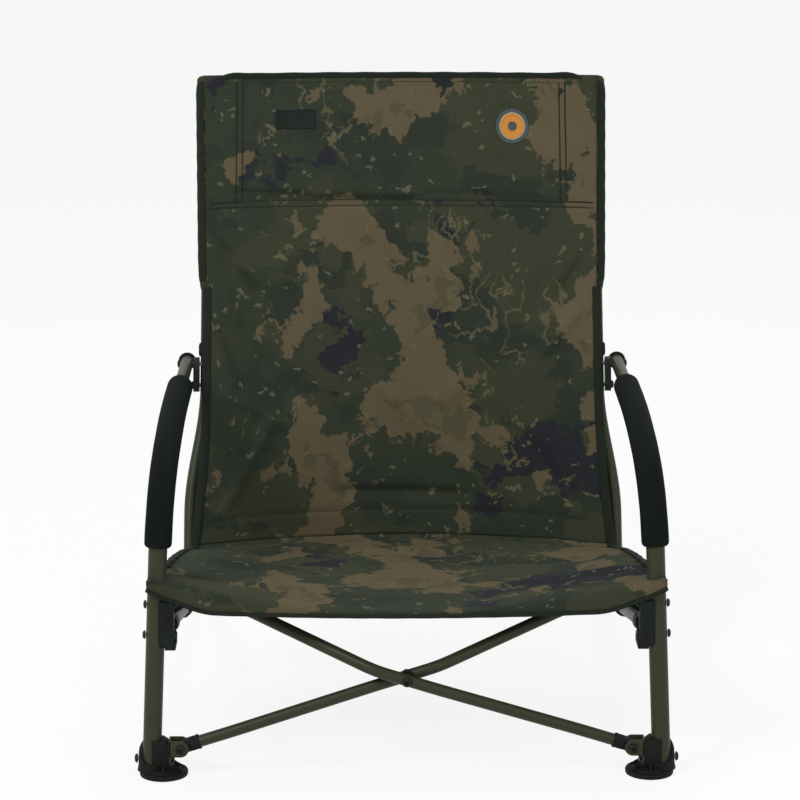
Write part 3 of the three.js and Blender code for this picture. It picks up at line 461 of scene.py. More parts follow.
def cross_route(direction, offset):
    """Up from the foot pin: the tube bends aside to pass the other one, and back to the rail pin"""
    route = []
    last = cross_length - CROSS_RAIL_END
    straight = STRAIGHT_AT_PIN + STRAIGHT_AT_RIVET
    for i in range(CROSS_STEPS + 1):
        along = CROSS_FOOT_END + (last - CROSS_FOOT_END) * i / CROSS_STEPS
        depth = offset * eased((along - STRAIGHT_AT_PIN) / (cross_middle - straight))
        beyond = along - cross_middle - STRAIGHT_AT_RIVET
        depth += (RAIL_PIN[1] - offset) * eased(beyond / (cross_length - cross_middle - straight))
        x = direction * (along * math.cos(cross_angle) - FOOT_PIN[0])
        route.append(point(x, depth, FOOT_PIN[2] + along * math.sin(cross_angle)))
    return route


rail_route = [
    Vector((RAIL_PIN[0] * MM, low_rail[1] + RAIL_END_LEAN, high_rail[2] - RAIL_RADIUS)),
    Vector((RAIL_PIN[0] * MM, high_rail[1] - RAIL_END_LEAN, low_rail[2] + RAIL_RADIUS)),
]
for word, direction in (("front", -1), ("rear", 1)):
    route = cross_route(direction, direction * CROSS_OFFSET)
    tube_name = word + "_cross_tube"
    add_tube(tube_name, route, [CROSS_RADIUS] * len(route), tube_name, "cross_tube_" + word)
for word, side, body in SIDES:
    route = mirrored(rail_route, side)
    add_tube("rail_tube_" + word, route, [RAIL_RADIUS] * 2, "rail_" + word, "seat_rail_" + word)

# Arm grips: sleeves of black closed-cell foam pushed over the bend and the arm. The ends are cut square
# and rounded by wear, and the skin is a fine matt cell.
FOAM_RADIUS = 14.7 * MM
FOAM_END = 5 * MM
FOAM_SIDES = 48
FOAM_LIP_SHARE = 0.86
FOAM_UNEVEN = 0.15 * MM
FOAM_ROOM = 0.4 * MM
GRIP_START = 252 * MM
GRIP_END = 300 * MM


def foam_skin():
    skin = Finish("grip_foam")
    place = skin.place()
    cells = skin.grain(place, 1400.0, 3.0, 0.7)
    patches = skin.grain(place, 25.0, 4.0)
    colour = skin.blend(patches, tone(15, 20, 18), tone(24, 30, 27))
    colour = skin.blend(cells.step(0.62, 0.1) * 0.2, colour, tone(34, 40, 37))
    return skin.finish(colour, patches * 0.08 + 0.9, cells + patches * 0.6, 0.00025, specular=0.08)


foam = foam_skin()


def foam_rings(route):
    inside = [p for p in route if p.z > GRIP_START and p.y < FRONT_PLANE + GRIP_END]
    fine = []
    for a, b in zip(inside, inside[1:]):
        fine.extend([a, a.lerp(b, 0.5)])
    fine.append(inside[-1])
    lengths = [0.0]
    for a, b in zip(fine, fine[1:]):
        lengths.append(lengths[-1] + (b - a).length)
    radii = []
    for walked in lengths:
        close = min(walked, lengths[-1] - walked)
        share = min(close / FOAM_END, 1.0)
        swell = FOAM_UNEVEN * noise.noise(Vector((walked * 40, 0, 0)))
        round_off = FOAM_LIP_SHARE + (1 - FOAM_LIP_SHARE) * math.sqrt(1 - (1 - share) ** 2)
        radii.append(FOAM_RADIUS * round_off + swell)
    start = fine[0] + (fine[0] - fine[1]).normalized() * 0.1 * MM
    return [start] + fine, [LEG_RADIUS + FOAM_ROOM] + radii


for word, side, body in SIDES:
    route, radii = foam_rings(mirrored(leg_route, side))
    verts, faces = rings(route, radii, FOAM_SIDES)
    make_piece("grip_" + word, verts, faces, foam, body, ("arm_grip_" + word,))

# Moulded plastic: feet, blocks, tube ends, sockets and the plug in the arm, all black. The plug's dome is
# painted light grey, a painted highlight of the top light on its black plastic. The mouldings have a fine
# spark grain, eased edges that shine a little and dusty hollows.
TURNED_SIDES = 64
POLE_RADIUS = 0.02
PLASTIC_GRAIN = 700.0


def moulded(name, dark, light):
    skin = Finish(name)
    place = skin.place()
    grain = skin.grain(place, PLASTIC_GRAIN, 3.0, 0.6)
    dust = skin.grain(place, 30.0, 5.0, 0.6)
    colour = skin.blend(dust.step(0.52, 0.35), dark, light)
    return skin.finish(colour, dust * 0.2 + 0.55, grain, 0.00008, specular=0.14)


black_plastic = moulded("black_plastic", tone(15, 20, 19), tone(26, 31, 29))
# Painted highlight: the plug's dome is black plastic, coloured light grey for the top light that falls on
# it.
grey_plastic = moulded("grey_plastic", tone(104, 109, 98), tone(128, 132, 118))


def turned(profile, origin, axis):
    """Rings from a profile of radius and length along an axis. A pole is a tiny ring with a cap."""
    axis = axis.normalized()
    side = axis.orthogonal().normalized()
    up = axis.cross(side)
    verts = []
    for radius, along in profile:
        for j in range(TURNED_SIDES):
            angle = 2 * math.pi * j / TURNED_SIDES
            reach = side * math.cos(angle) + up * math.sin(angle)
            verts.append(origin + axis * (along * MM) + reach * (max(radius, POLE_RADIUS) * MM))
    return verts, ring_faces(len(profile), TURNED_SIDES)


def merged(*shapes):
    verts = []
    faces = []
    for more_verts, more_faces in shapes:
        start = len(verts)
        verts.extend(more_verts)
        faces.extend(tuple(i + start for i in face) for face in more_faces)
    return verts, faces


def slab(outline, low, high, plane, edge):
    """A prism with rounded edges: an outline in mm in the plane named, between low and high"""
    shape = bmesh.new()
    for level in (low, high):
        for a, b in outline:
            place = {"xz": (a, level, b), "yz": (level, a, b), "xy": (a, b, level)}[plane]
            shape.verts.new([value * MM for value in place])
    shape.verts.ensure_lookup_table()
    count = len(outline)
    shape.faces.new([shape.verts[i] for i in range(count)])
    shape.faces.new([shape.verts[count + i] for i in reversed(range(count))])
    for i in range(count):
        j = (i + 1) % count
        shape.faces.new([shape.verts[k] for k in (i, i + count, j + count, j)])
    bmesh.ops.recalc_face_normals(shape, faces=shape.faces)
    bmesh.ops.bevel(
        shape,
        geom=shape.edges[:],
        offset=edge * MM,
        segments=2,
        profile=0.6,
        affect="EDGES",
        clamp_overlap=True,
    )
    shape.verts.index_update()
    verts = [v.co.copy() for v in shape.verts]
    faces = [tuple(v.index for v in f.verts) for f in shape.faces]
    shape.free()
    return verts, faces


def moved(shape, side):
    """The shape of the right side, put on a side of the chair"""
    verts, faces = shape
    return mirrored(verts, side), faces


def arc(centre, radius, start, end, count):
    places = []
    for i in range(count + 1):
        angle = math.radians(start + (end - start) * i / count)
        places.append((centre[0] + radius * math.cos(angle), centre[1] + radius * math.sin(angle)))
    return places


FRONT_MM = FRONT_PLANE / MM
PAD_X = 261.5
REAR_PAD_DEPTH = 650
RIB_COUNT = 6
RIB_REACH = 23
RIB_INNER = 13
RIB_HALF = 1.1
RIB_HEIGHTS = ((6, 5), (14, 6.4))
BOSS_HALF = 10.5
BOSS_OUTLINE = [(256, 4), (274, 4), (274, 41), (262, 41), (256, 37)]
BACK_OUTLINE = [(262, 4), (287, 4), (284, 30), (279, 41), (264, 41)]
PAD_PROFILE = [(0, 0), (24.4, 0), (25.6, 0.5), (26, 1.6), (26, 4.2), (25.4, 5.4), (24.2, 5.9), (22.5, 5.7)]
PAD_PROFILE += [(20.5, 5.6), (19, 7.2), (15.5, 8.6), (0, 8.8)]


def pad(x, depth):
    return turned(PAD_PROFILE, point(x, depth, 0), Vector((0, 0, 1)))


def collar(x, front_top, rear_top, outer, inner):
    """A sleeve round the leg whose top is cut on a slant, higher behind the leg"""
    verts = []
    steps = ((outer + 1.2, 6, 0), (outer, LEG_FOOT, 0), (outer, 0, 1))
    steps += ((outer - 1.2, 1, 1), (inner, 0.6, 1), (inner, -6, 1))
    for radius, level, slanted in steps:
        for j in range(TURNED_SIDES):
            angle = 2 * math.pi * j / TURNED_SIDES
            rise = (front_top + rear_top) / 2 + math.sin(angle) * (rear_top - front_top) / 2
            height = level + rise * slanted
            lean = (leg_top.x - leg_foot.x) / (leg_top.z - leg_foot.z) * max(height - LEG_FOOT, 0)
            verts.append(point(x + lean + radius * math.cos(angle), radius * math.sin(angle), height))
    return verts, ring_faces(len(steps), TURNED_SIDES)


def ribs(x, depth, count, start, reach):
    """Low ribs that run out from the middle of a pad to near its rim"""
    shapes = []
    for i in range(count):
        angle = math.radians(start + 360 * i / count)
        way = Vector((math.cos(angle), math.sin(angle), 0))
        across = Vector((-way.y, way.x, 0)) * (RIB_HALF * MM)
        foot = point(x, depth, 0)
        inner = foot + way * (RIB_INNER * MM)
        outer = foot + way * (reach * MM)
        verts = []
        for inner_height, outer_height in RIB_HEIGHTS:
            inner_rise = Vector((0, 0, inner_height * MM))
            outer_rise = Vector((0, 0, outer_height * MM))
            verts += [inner - across + inner_rise, outer - across + outer_rise]
            verts += [outer + across + outer_rise, inner + across + inner_rise]
        faces = [(0, 3, 2, 1), (4, 5, 6, 7), (0, 1, 5, 4), (1, 2, 6, 5), (2, 3, 7, 6), (3, 0, 4, 7)]
        shapes.append((verts, faces))
    return shapes


def front_foot():
    sleeve = collar(LEG_FOOT_X, front_top=13, rear_top=40, outer=14.3, inner=10.3)
    boss = slab(BOSS_OUTLINE, FRONT_MM - BOSS_HALF, FRONT_MM + BOSS_HALF, "xz", 1.4)
    back = slab(BACK_OUTLINE, FRONT_MM + 3, FRONT_MM + 16, "xz", 2)
    return merged(pad(PAD_X, 0), sleeve, boss, back, *ribs(PAD_X, 0, RIB_COUNT, 30, RIB_REACH))


def rear_foot():
    way = (rear_route[-1] - rear_route[0]).normalized()
    socket = [(10.4, -51), (11.4, -50), (11.6, -30), (12.2, -4), (11.2, 1), (0, 2)]
    sleeve = turned([(8.3, -46), (8.3, -50.5)] + socket, rear_route[-1], way)
    web = [(FRONT_MM + 618, 6), (FRONT_MM + 655, 4), (FRONT_MM + 655, 14), (FRONT_MM + 606, 26)]
    foot_ribs = ribs(REAR_X, REAR_PAD_DEPTH, RIB_COUNT, 0, RIB_REACH)
    return merged(pad(REAR_X, REAR_PAD_DEPTH), sleeve, slab(web, 253, 259, "yz", 1), *foot_ribs)


def tube_end():
    """Plug on the foot end of a crossed tube: a sleeve with a rim and a flat tongue round the pin"""
    way = Vector((-math.cos(cross_angle), 0, math.sin(cross_angle)))
    origin = point(*FOOT_PIN)
    profile = [(0, 10), (6.2, 10), (7.6, 11.4), (7.9, 13), (7.8, 18.4), (8.2, 19.2)]
    profile += [(8.2, 21), (7.5, 21.8), (6.6, 21.8)]
    sleeve = turned(profile, origin, way)
    tongue = arc((0, 0), 6.4, 90, 270, 16) + [(18, -6.4), (18, 6.4)]
    turn = math.pi - cross_angle
    outline = []
    for a, b in tongue:
        x = a * math.cos(turn) - b * math.sin(turn)
        z = a * math.sin(turn) + b * math.cos(turn)
        outline.append((FOOT_PIN[0] + x, FOOT_PIN[2] + z))
    return merged(sleeve, slab(outline, FRONT_MM - 6, FRONT_MM + 6, "xz", 0.8))


RING_PROFILE = [(0, -3), (5.7, -3), (5.8, 0.2), (9.8, 0.3), (10.5, 0.9), (10.5, 2.4), (10, 3), (0, 3.1)]
DOME_PROFILE = [(0, 2.6), (9.1, 2.6), (9.3, 3.8), (9, 5.4), (8.1, 8), (6.2, 10.2), (3.6, 11.6), (0, 12)]


def saddle_block():
    low, high = 143.4, 197.8
    cheek = [(FRONT_MM - 7.8, low + 4), (FRONT_MM - 5, low), (FRONT_MM + 26, low), (FRONT_MM + 26, high)]
    cheek += [(FRONT_MM - 4, high), (FRONT_MM - 7.8, high - 5)]
    foot = [(FRONT_MM - 7.6, low - 2), (FRONT_MM + 25, low - 2)]
    foot += [(FRONT_MM + 25, low + 6), (FRONT_MM - 7.6, low + 6)]
    block = slab(cheek, 248.1, 257, "yz", 1.2)
    outer = slab([(y, z) for y, z in cheek if y > FRONT_MM - 8], 256, 263.5, "yz", 1.2)
    step = slab(foot, 246.2, 258, "yz", 1)
    brace = [(222, 198), (250, 198), (250, 176), (246, 178), (226, 190), (222, 192)]
    gusset = slab(brace, FRONT_MM + 12, FRONT_MM + 18, "xz", 1)
    arm_box = [(221.6, 186), (250, 184), (250, 198.8), (237.6, 198.8)]
    arm_box += [(237, 193.6), (222.4, 193.6), (221.6, 196)]
    arm = slab(arm_box, FRONT_MM + 23, FRONT_MM + 49, "xz", 0.8)
    way = (rear_route[-1] - rear_route[0]).normalized()
    sleeve_profile = [(0, -3), (9.6, -3), (11, -1.6), (11, 32.6), (9.6, 34), (8.3, 34)]
    sleeve = turned(sleeve_profile, rear_route[0], way)
    return merged(block, outer, step, gusset, arm, sleeve)


for word, side, body in SIDES:
    solids = (
        ("foot_front_" + word, front_foot(), "front_foot_" + word),
        ("foot_rear_" + word, rear_foot(), "rear_foot_" + word),
        ("block_" + word, saddle_block(), "saddle_block_" + word),
    )
    for name, shape, node in solids:
        verts, faces = moved(shape, side)
        make_piece(name, verts, faces, black_plastic, body, (node,))
    # The ring keeps its own black, and the dome gets the light grey of the painted highlight.
    caps = (
        ("arm_ring_", RING_PROFILE, black_plastic, "black_plastic"),
        ("arm_plug_", DOME_PROFILE, grey_plastic, "grey_plastic"),
    )
    for name, profile, material, slot in caps:
        verts, faces = moved(turned(profile, arm_rear, arm_rear_way), side)
        make_piece(name + word, verts, faces, material, body, ("arm_end_cap_" + word,))
for word, side, body in (("left", -1, "rear_cross_tube"), ("right", 1, "front_cross_tube")):
    verts, faces = moved(tube_end(), side)
    node = "foot_tube_end_" + word
    make_piece("tube_end_" + word, verts, faces, black_plastic, body, (node,))

# Steel clevises: folded strip on the inside of each front foot, with the same olive coat as the tubes.
# The pin of a crossed tube goes through both cheeks.
def clevis():
    cheek = [(255.4, 22), (255.4, 40)] + [(x, z) for x, z in arc((243, 31), 9, 90, 270, 24)]
    front = slab(cheek, FRONT_MM - 9.3, FRONT_MM - 7.3, "xz", 0.5)
    rear = slab(cheek, FRONT_MM + 7.3, FRONT_MM + 9.3, "xz", 0.5)
    plate = [(253.2, 13.5), (255.7, 13.5), (255.7, 40), (253.2, 40)]
    return merged(front, rear, slab(plate, FRONT_MM - 9.3, FRONT_MM + 9.3, "xz", 0.5))


for word, side, body in SIDES:
    verts, faces = moved(clevis(), side)
    make_piece("clevis_" + word, verts, faces, olive, body, ("foot_clevis_" + word,))

# Fasteners: button-head bolts with hexagon sockets and round-head pins in black zinc. One tree of
# nodes puts a head at each end of every bolt of a body.
HEAD_SEGMENTS = 24
SHANK_SIDES = 20
SHANK_SHARE = 0.5
SMALL_HEAD = 4
HEAD_INSET = 3.2 * MM
SMALL_HEAD_INSET = 1.8 * MM


def zinc():
    skin = Finish("black_zinc")
    place = skin.place()
    scuff = skin.grain(place, 220.0, 5.0, 0.7)
    colour = skin.blend(scuff.step(0.6, 0.2) * 0.6, tone(18, 21, 21), tone(44, 47, 46))
    return skin.finish(colour, scuff * 0.2 + 0.4, scuff, 0.00006, metallic=0.3, specular=0.3)


black_zinc = zinc()


def head_mesh():
    """A button head of unit radius on its seat at the origin, facing +Z, with a hexagon socket"""
    profile = [(0.6, -0.05), (1.0, 0.0), (1.0, 0.16), (0.93, 0.36), (0.8, 0.5), (0.6, 0.6), (0.46, 0.63)]
    verts = []
    for radius, height in profile:
        for j in range(HEAD_SEGMENTS):
            angle = 2 * math.pi * j / HEAD_SEGMENTS
            verts.append((radius * math.cos(angle), radius * math.sin(angle), height))
    for height in (0.62, 0.28):
        for j in range(HEAD_SEGMENTS):
            angle = 2 * math.pi * j / HEAD_SEGMENTS
            corner = math.cos(math.pi / 6) / math.cos((angle % (math.pi / 3)) - math.pi / 6)
            verts.append((0.42 * corner * math.cos(angle), 0.42 * corner * math.sin(angle), height))
    mesh = bpy.data.meshes.new("button_head")
    mesh.from_pydata(verts, [], ring_faces(len(profile) + 2, HEAD_SEGMENTS))
    mesh.shade_smooth()
    mesh.set_sharp_from_angle(angle=math.radians(35))
    head = bpy.data.objects.new("button_head", mesh)
    bpy.context.scene.collection.objects.link(head)
    return head


def new_tree(name, sizes):
    """An empty tree of geometry nodes with named sizes as inputs, and its first node"""
    tree = bpy.data.node_groups.new(name, "GeometryNodeTree")
    tree.interface.new_socket("Geometry", in_out="INPUT", socket_type="NodeSocketGeometry")
    for label in sizes:
        tree.interface.new_socket(label, in_out="INPUT", socket_type="NodeSocketFloat")
    tree.interface.new_socket("Geometry", in_out="OUTPUT", socket_type="NodeSocketGeometry")
    return tree, tree.nodes.new("NodeGroupInput")


def close_tree(tree, instances, material):
    """Makes the instances real, paints them and hands them out"""
    real = tree.nodes.new("GeometryNodeRealizeInstances")
    paint = tree.nodes.new("GeometryNodeSetMaterial")
    paint.inputs["Material"].default_value = material
    end = tree.nodes.new("NodeGroupOutput")
    tree.links.new(instances, real.inputs["Geometry"])
    tree.links.new(real.outputs["Geometry"], paint.inputs["Geometry"])
    tree.links.new(paint.outputs["Geometry"], end.inputs["Geometry"])
    return tree


def heads_tree(source, material):
    """Instances the source on each point, turned along its aim and scaled by its size"""
    tree, start = new_tree("bolt_heads", ["Scale"])
    nodes = tree.nodes
    info = nodes.new("GeometryNodeObjectInfo")
    info.inputs["Object"].default_value = source
    aim = nodes.new("GeometryNodeInputNamedAttribute")
    aim.data_type = "FLOAT_VECTOR"
    aim.inputs["Name"].default_value = "aim"
    size = nodes.new("GeometryNodeInputNamedAttribute")
    size.data_type = "FLOAT"
    size.inputs["Name"].default_value = "size"
    times = nodes.new("ShaderNodeMath")
    times.operation = "MULTIPLY"
    align = nodes.new("FunctionNodeAlignRotationToVector")
    align.axis = "Z"
    place = nodes.new("GeometryNodeInstanceOnPoints")
    links = tree.links
    links.new(start.outputs["Geometry"], place.inputs["Points"])
    links.new(info.outputs["Geometry"], place.inputs["Instance"])
    links.new(aim.outputs["Attribute"], align.inputs["Vector"])
    links.new(align.outputs["Rotation"], place.inputs["Rotation"])
    links.new(size.outputs["Attribute"], times.inputs[0])
    links.new(start.outputs["Scale"], times.inputs[1])
    links.new(times.outputs[0], place.inputs["Scale"])
    return close_tree(tree, place.outputs["Instances"], material)


def make_plain(piece, modifier):
    """Turns what the modifier makes of a piece into its plain mesh"""
    bpy.context.view_layer.update()
    graph = bpy.context.evaluated_depsgraph_get()
    result = bpy.data.meshes.new_from_object(piece.evaluated_get(graph))
    piece.modifiers.remove(modifier)
    piece.data = result


def grown(name, verts, attributes, tree, inputs, edges=()):
    """The mesh that a tree makes from points or lines, as a plain object"""
    mesh = bpy.data.meshes.new(name)
    mesh.from_pydata([tuple(v) for v in verts], list(edges), [])
    for label, kind, values in attributes:
        layer = mesh.attributes.new(label, kind, "POINT")
        for i, value in enumerate(values):
            if kind == "FLOAT":
                layer.data[i].value = value
            else:
                layer.data[i].vector = value
    holder = bpy.data.objects.new(name, mesh)
    bpy.context.scene.collection.objects.link(holder)
    modifier = holder.modifiers.new("grow", "NODES")
    modifier.node_group = tree
    for item in tree.interface.items_tree:
        if item.item_type == "SOCKET" and item.in_out == "INPUT" and item.name in inputs:
            modifier[item.identifier] = inputs[item.name]
    make_plain(holder, modifier)
    return holder


BOLT_NODES = {
    "front_foot_bolt": (5.0, "x"),
    "block_bolt_upper": (4.6, "x"),
    "block_bolt_lower": (4.6, "x"),
    "socket_bolt": (4.6, "x"),
    "bracket_bolt_upper": (4.8, "x"),
    "bracket_bolt_lower": (4.6, "x"),
    "foot_pin": (5.2, "y"),
}
button_head = head_mesh()
head_tree = heads_tree(button_head, black_zinc)


def bolt_heads(name, nodes, body):
    """Heads at both ends of each bolt, and the shank between them"""
    verts = []
    aims = []
    sizes = []
    shanks = []
    for node, radius, axis in nodes:
        low, high = (Vector(corner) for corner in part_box(node))
        middle = (low + high) / 2
        index = "xyz".index(axis)
        inset = HEAD_INSET if radius > SMALL_HEAD else SMALL_HEAD_INSET
        for corner, sign in ((low, -1), (high, 1)):
            seat = middle.copy()
            seat[index] = corner[index] - sign * inset
            aim = Vector((0, 0, 0))
            aim[index] = sign
            verts.append(seat)
            aims.append(aim)
            sizes.append(radius)
        ends = [verts[-2].copy(), verts[-1].copy()]
        shanks.append(rings(ends, [radius * SHANK_SHARE * MM] * 2, SHANK_SIDES))
    attributes = (("aim", "FLOAT_VECTOR", aims), ("size", "FLOAT", sizes))
    heads = grown(name, verts, attributes, head_tree, {"Scale": MM})
    shank_verts, shank_faces = merged(*shanks)
    shape = bmesh.new()
    shape.from_mesh(heads.data)
    made = [shape.verts.new(v) for v in shank_verts]
    for face in shank_faces:
        shape.faces.new([made[i] for i in face])
    bmesh.ops.recalc_face_normals(shape, faces=shape.faces)
    shape.to_mesh(heads.data)
    shape.free()
    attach(heads, body)
    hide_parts(*[node for node, _, _ in nodes])


for word, side, body in SIDES:
    bolts = [(node + "_" + word, radius, axis) for node, (radius, axis) in BOLT_NODES.items()]
    bolt_heads("frame_bolts_" + word, bolts, body)
    bolt_heads("rail_pin_heads_" + word, [("rail_pin_" + word, 3.6, "y")], "rail_" + word)
bolt_heads("rivet_heads", [("cross_rivet", 5.6, "y")], "rear_cross_tube")
bpy.data.objects.remove(button_head)

# Hidden pieces: moulded saddles, sockets, plugs and spacer, folded steel lugs and flat steel brackets.
# They are seen little or not at all, so the CAD solids stay, and each gets the finish of its kind.
def coat_node(node, material):
    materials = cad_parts[node].data.materials
    materials.clear()
    materials.append(material)


for word, side, body in SIDES:
    for node in ("rear_saddle_", "post_socket_", "rail_tube_end_"):
        coat_node(node + word, black_plastic)
    coat_node("arm_bracket_" + word, black_zinc)
    coat_node("rail_lug_" + word, olive)
coat_node("cross_spacer", black_plastic)

# Cloth: heavy woven polyester, printed with a general camouflage of ragged patches in dark green,
# olive, tan and blue-black, with pale specks and twigs. Its print follows the cut of the cloth.
CLOTH = 3
CLOTH_GAP = 0.5
WOVEN_SHARE = 0.6
MAP = "cut"
FOLD_STRENGTH = 2.8
FOLD_WIDTH = 0.8
CUT_STEPS = 60


def camo_cloth():
    cloth = Finish("camo_cloth")
    cut = cloth.place(MAP)
    warp = cloth.grain(cut, 26.0, 5.0, 0.65, output="Color")
    sums = {0: warp, 1: (0.05, 0.05, 0), 2: cut}
    shift = cloth.node("ShaderNodeVectorMath", {"operation": "MULTIPLY_ADD"}, sums)
    tall = cloth.mapped(shift, (1.25, 0.85, 1), (3.1, 1.7, 0))
    wide = cloth.mapped(shift, (0.85, 1.1, 1), (9.4, 5.2, 0))
    green = cloth.grain(wide, 6.0, 6.0, 0.55)
    tan = cloth.grain(tall, 6.8, 7.0, 0.55)
    dark = cloth.grain(cloth.mapped(shift, (1, 1, 1), (21.7, 14.3, 0)), 7.6, 6.0, 0.56)
    haze = cloth.grain(cut, 40.0, 4.0, 0.6)
    thread = cloth.grain(cut, 1500.0, 1.0)
    pool = cloth.grain(wide, 11.0, 6.0, 0.6)
    colour = cloth.blend(green.step(0.5, 0.02), tone(50, 57, 45), tone(58, 62, 45))
    colour = cloth.blend(pool.step(0.55, 0.02), colour, tone(44, 51, 42))
    colour = cloth.blend(tan.step(0.545, 0.008), colour, tone(98, 88, 66))
    colour = cloth.blend((tan * 0.6 + pool * 0.4).step(0.6, 0.01), colour, tone(84, 78, 58))
    colour = cloth.blend(dark.step(0.6, 0.01), colour, tone(36, 38, 43))
    twig_bends = cloth.grain(cloth.mapped(shift, (1.3, 0.6, 1), (2.2, 4.6, 0)), 17.0, 2.0)
    twig_zone = cloth.grain(cloth.mapped(cut, (1, 1, 1), (6.6, 8.8, 0)), 6.0, 2.0).step(0.58, 0.02)
    twigs = (1 - (twig_bends - 0.5).math("ABSOLUTE").step(0.011, 0.008)) * twig_zone
    colour = cloth.blend(twigs * 0.75, colour, tone(100, 94, 68))
    speck_cells = cloth.node(
        "ShaderNodeTexVoronoi", {"feature": "F1"}, {"Vector": shift, "Scale": 85.0, "Randomness": 1.0}
    )
    speck_zone = cloth.grain(cut, 30.0, 2.0).step(0.54, 0.04)
    specks = (1 - speck_cells.step(0.25, 0.05)) * speck_zone
    colour = cloth.blend(specks * 0.8, colour, tone(104, 101, 76))
    fade = cloth.blend(haze * 0.5, colour, tone(52, 54, 42))
    colour = cloth.blend(0.15, colour, fade)
    weft = cloth.node("ShaderNodeTexWave", {"bands_direction": "X"}, {"Vector": cut, "Scale": 260.0})
    warp_lines = cloth.node("ShaderNodeTexWave", {"bands_direction": "Y"}, {"Vector": cut, "Scale": 260.0})
    weave = weft * 0.5 + warp_lines * 0.5 + thread * 0.3
    return cloth.finish(colour, haze * 0.12 + 0.78, weave, 0.00025, specular=0.18)


camo = camo_cloth()


def bound_tape(name, dark, light, rib):
    """Woven tape: ribs across it and a soft uneven dye"""
    tape = Finish(name)
    place = tape.place()
    dye = tape.grain(place, 45.0, 4.0, 0.6)
    ribbed = tape.grain(place, rib, 2.0)
    colour = tape.blend(dye, dark, light)
    return tape.finish(colour, dye * 0.1 + 0.8, ribbed, 0.0004, specular=0.2)


binding = bound_tape("binding_tape", tone(21, 28, 20), tone(32, 40, 29), 900.0)
band_tape = bound_tape("black_webbing", tone(18, 20, 19), tone(33, 35, 33), 1100.0)


def sheet_piece(name, surface, columns, rows, cut_size, body, replaced):
    """A sheet of cloth from surface(u, v), with a map of its cut in metres, and its thickness"""
    verts = []
    for row in range(rows + 1):
        for column in range(columns + 1):
            verts.append(surface(column / columns, row / rows))
    faces = []
    stride = columns + 1
    for row in range(rows):
        for column in range(columns):
            a = row * stride + column
            faces.append((a, a + 1, a + stride + 1, a + stride))
    mesh = bpy.data.meshes.new(name)
    mesh.from_pydata([tuple(v) for v in verts], [], faces)
    layer = mesh.uv_layers.new(name=MAP)
    for loop in mesh.loops:
        row, column = divmod(loop.vertex_index, stride)
        layer.data[loop.index].uv = (column / columns * cut_size[0], row / rows * cut_size[1])
    mesh.materials.append(camo)
    mesh.shade_smooth()
    piece = bpy.data.objects.new(name, mesh)
    bpy.context.scene.collection.objects.link(piece)
    thick = piece.modifiers.new("thickness", "SOLIDIFY")
    thick.thickness = CLOTH * MM * WOVEN_SHARE
    thick.offset = 0
    make_plain(piece, thick)
    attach(piece, body)
    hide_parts(replaced)
    return piece


def cut_of(surface):
    """Width and length of a sheet along its middle lines, in metres"""
    across = [surface(i / CUT_STEPS, 0.5) for i in range(CUT_STEPS + 1)]
    along = [surface(0.5, i / CUT_STEPS) for i in range(CUT_STEPS + 1)]
    lengths = []
    for line in (across, along):
        lengths.append(sum((b - a).length for a, b in zip(line, line[1:])))
    return lengths


def ridge(distance, width):
    return math.exp(-((distance / width) ** 2))


def wrinkle(x, z, folds):
    """Height of the listed folds at a place, each a soft ridge along a line"""
    height = 0.0
    for x0, z0, x1, z1, full_width, rise in folds:
        width = full_width * FOLD_WIDTH
        run_x = x1 - x0
        run_z = z1 - z0
        length = math.hypot(run_x, run_z)
        along = ((x - x0) * run_x + (z - z0) * run_z) / length
        off = ((x - x0) * run_z - (z - z0) * run_x) / length
        beyond = max(-along, along - length, 0)
        height += FOLD_STRENGTH * rise * ridge(off, width) * ridge(beyond, width * 2.5)
    return height


# Back cloth: one panel stretched between the posts, with a pocket for the head on its top part and a
# fold at the seat. It hangs in a shallow hollow, creased where it is pulled at the posts.
SEAT_FRONT_X = 268
SEAT_REAR_X = 243
SEAT_FRONT_HEIGHT = 221
SEAT_REAR_HEIGHT = 168
SEAT_MID_FRONT = 183
SEAT_MID_REAR = 163
BACK_ABOVE_SEAT = 2.2
BACK_TOP = 690
CLOTH_WAIST = 231
HEAD_SEAM = 540
HEAD_SEAM_GAP = 6
SIDE_SEAM_X = 197
CREASE_BOW = 70
TOP_BOW = 18
BAND_ROOM = 5
BAND_TOP = 394
SEAT_SEAM = SEAT_REAR_HEIGHT + 26
STANDOFF = (POST_RADIUS / MM + CLOTH_GAP + CLOTH / 2) / math.cos(math.atan(POST_LEAN))
BACK_FOLDS = (
    (-236, 520, -178, 452, 7, -3.2),
    (-228, 500, -190, 470, 5, 2.4),
    (232, 505, 196, 452, 8, -2.4),
    (-178, 548, 10, 546, 6, -2.6),
    (40, 552, 160, 548, 7, -1.4),
    (-150, 470, -60, 400, 14, 1.8),
    (-40, 500, 90, 360, 16, -1.8),
    (150, 460, 60, 330, 15, 1.6),
    (-190, 380, -70, 300, 13, -1.6),
    (-20, 330, 80, 240, 12, 1.6),
    (120, 300, 190, 230, 10, -1.6),
    (-160, 290, -200, 220, 10, 2.0),
    (60, 640, 130, 600, 14, 1.2),
    (-120, 660, -40, 620, 14, -1.2),
    (-60, 215, 60, 212, 8, -2.2),
    (-226, 470, -198, 418, 6, 2.6),
    (-214, 400, -192, 345, 6, -2.4),
    (-204, 330, -150, 300, 8, 2.0),
    (206, 420, 170, 380, 8, 2.0),
    (-190, 556, -120, 553, 5, -2.2),
)


def seat_edge_x(v):
    return SEAT_FRONT_X - (SEAT_FRONT_X - SEAT_REAR_X) * max(v, 0) ** 0.6


def seat_edge_height(v):
    return SEAT_FRONT_HEIGHT - (SEAT_FRONT_HEIGHT - SEAT_REAR_HEIGHT) * max(v, 0) ** 1.7


def seat_mid_height(v):
    return SEAT_MID_FRONT - (SEAT_MID_FRONT - SEAT_MID_REAR) * v


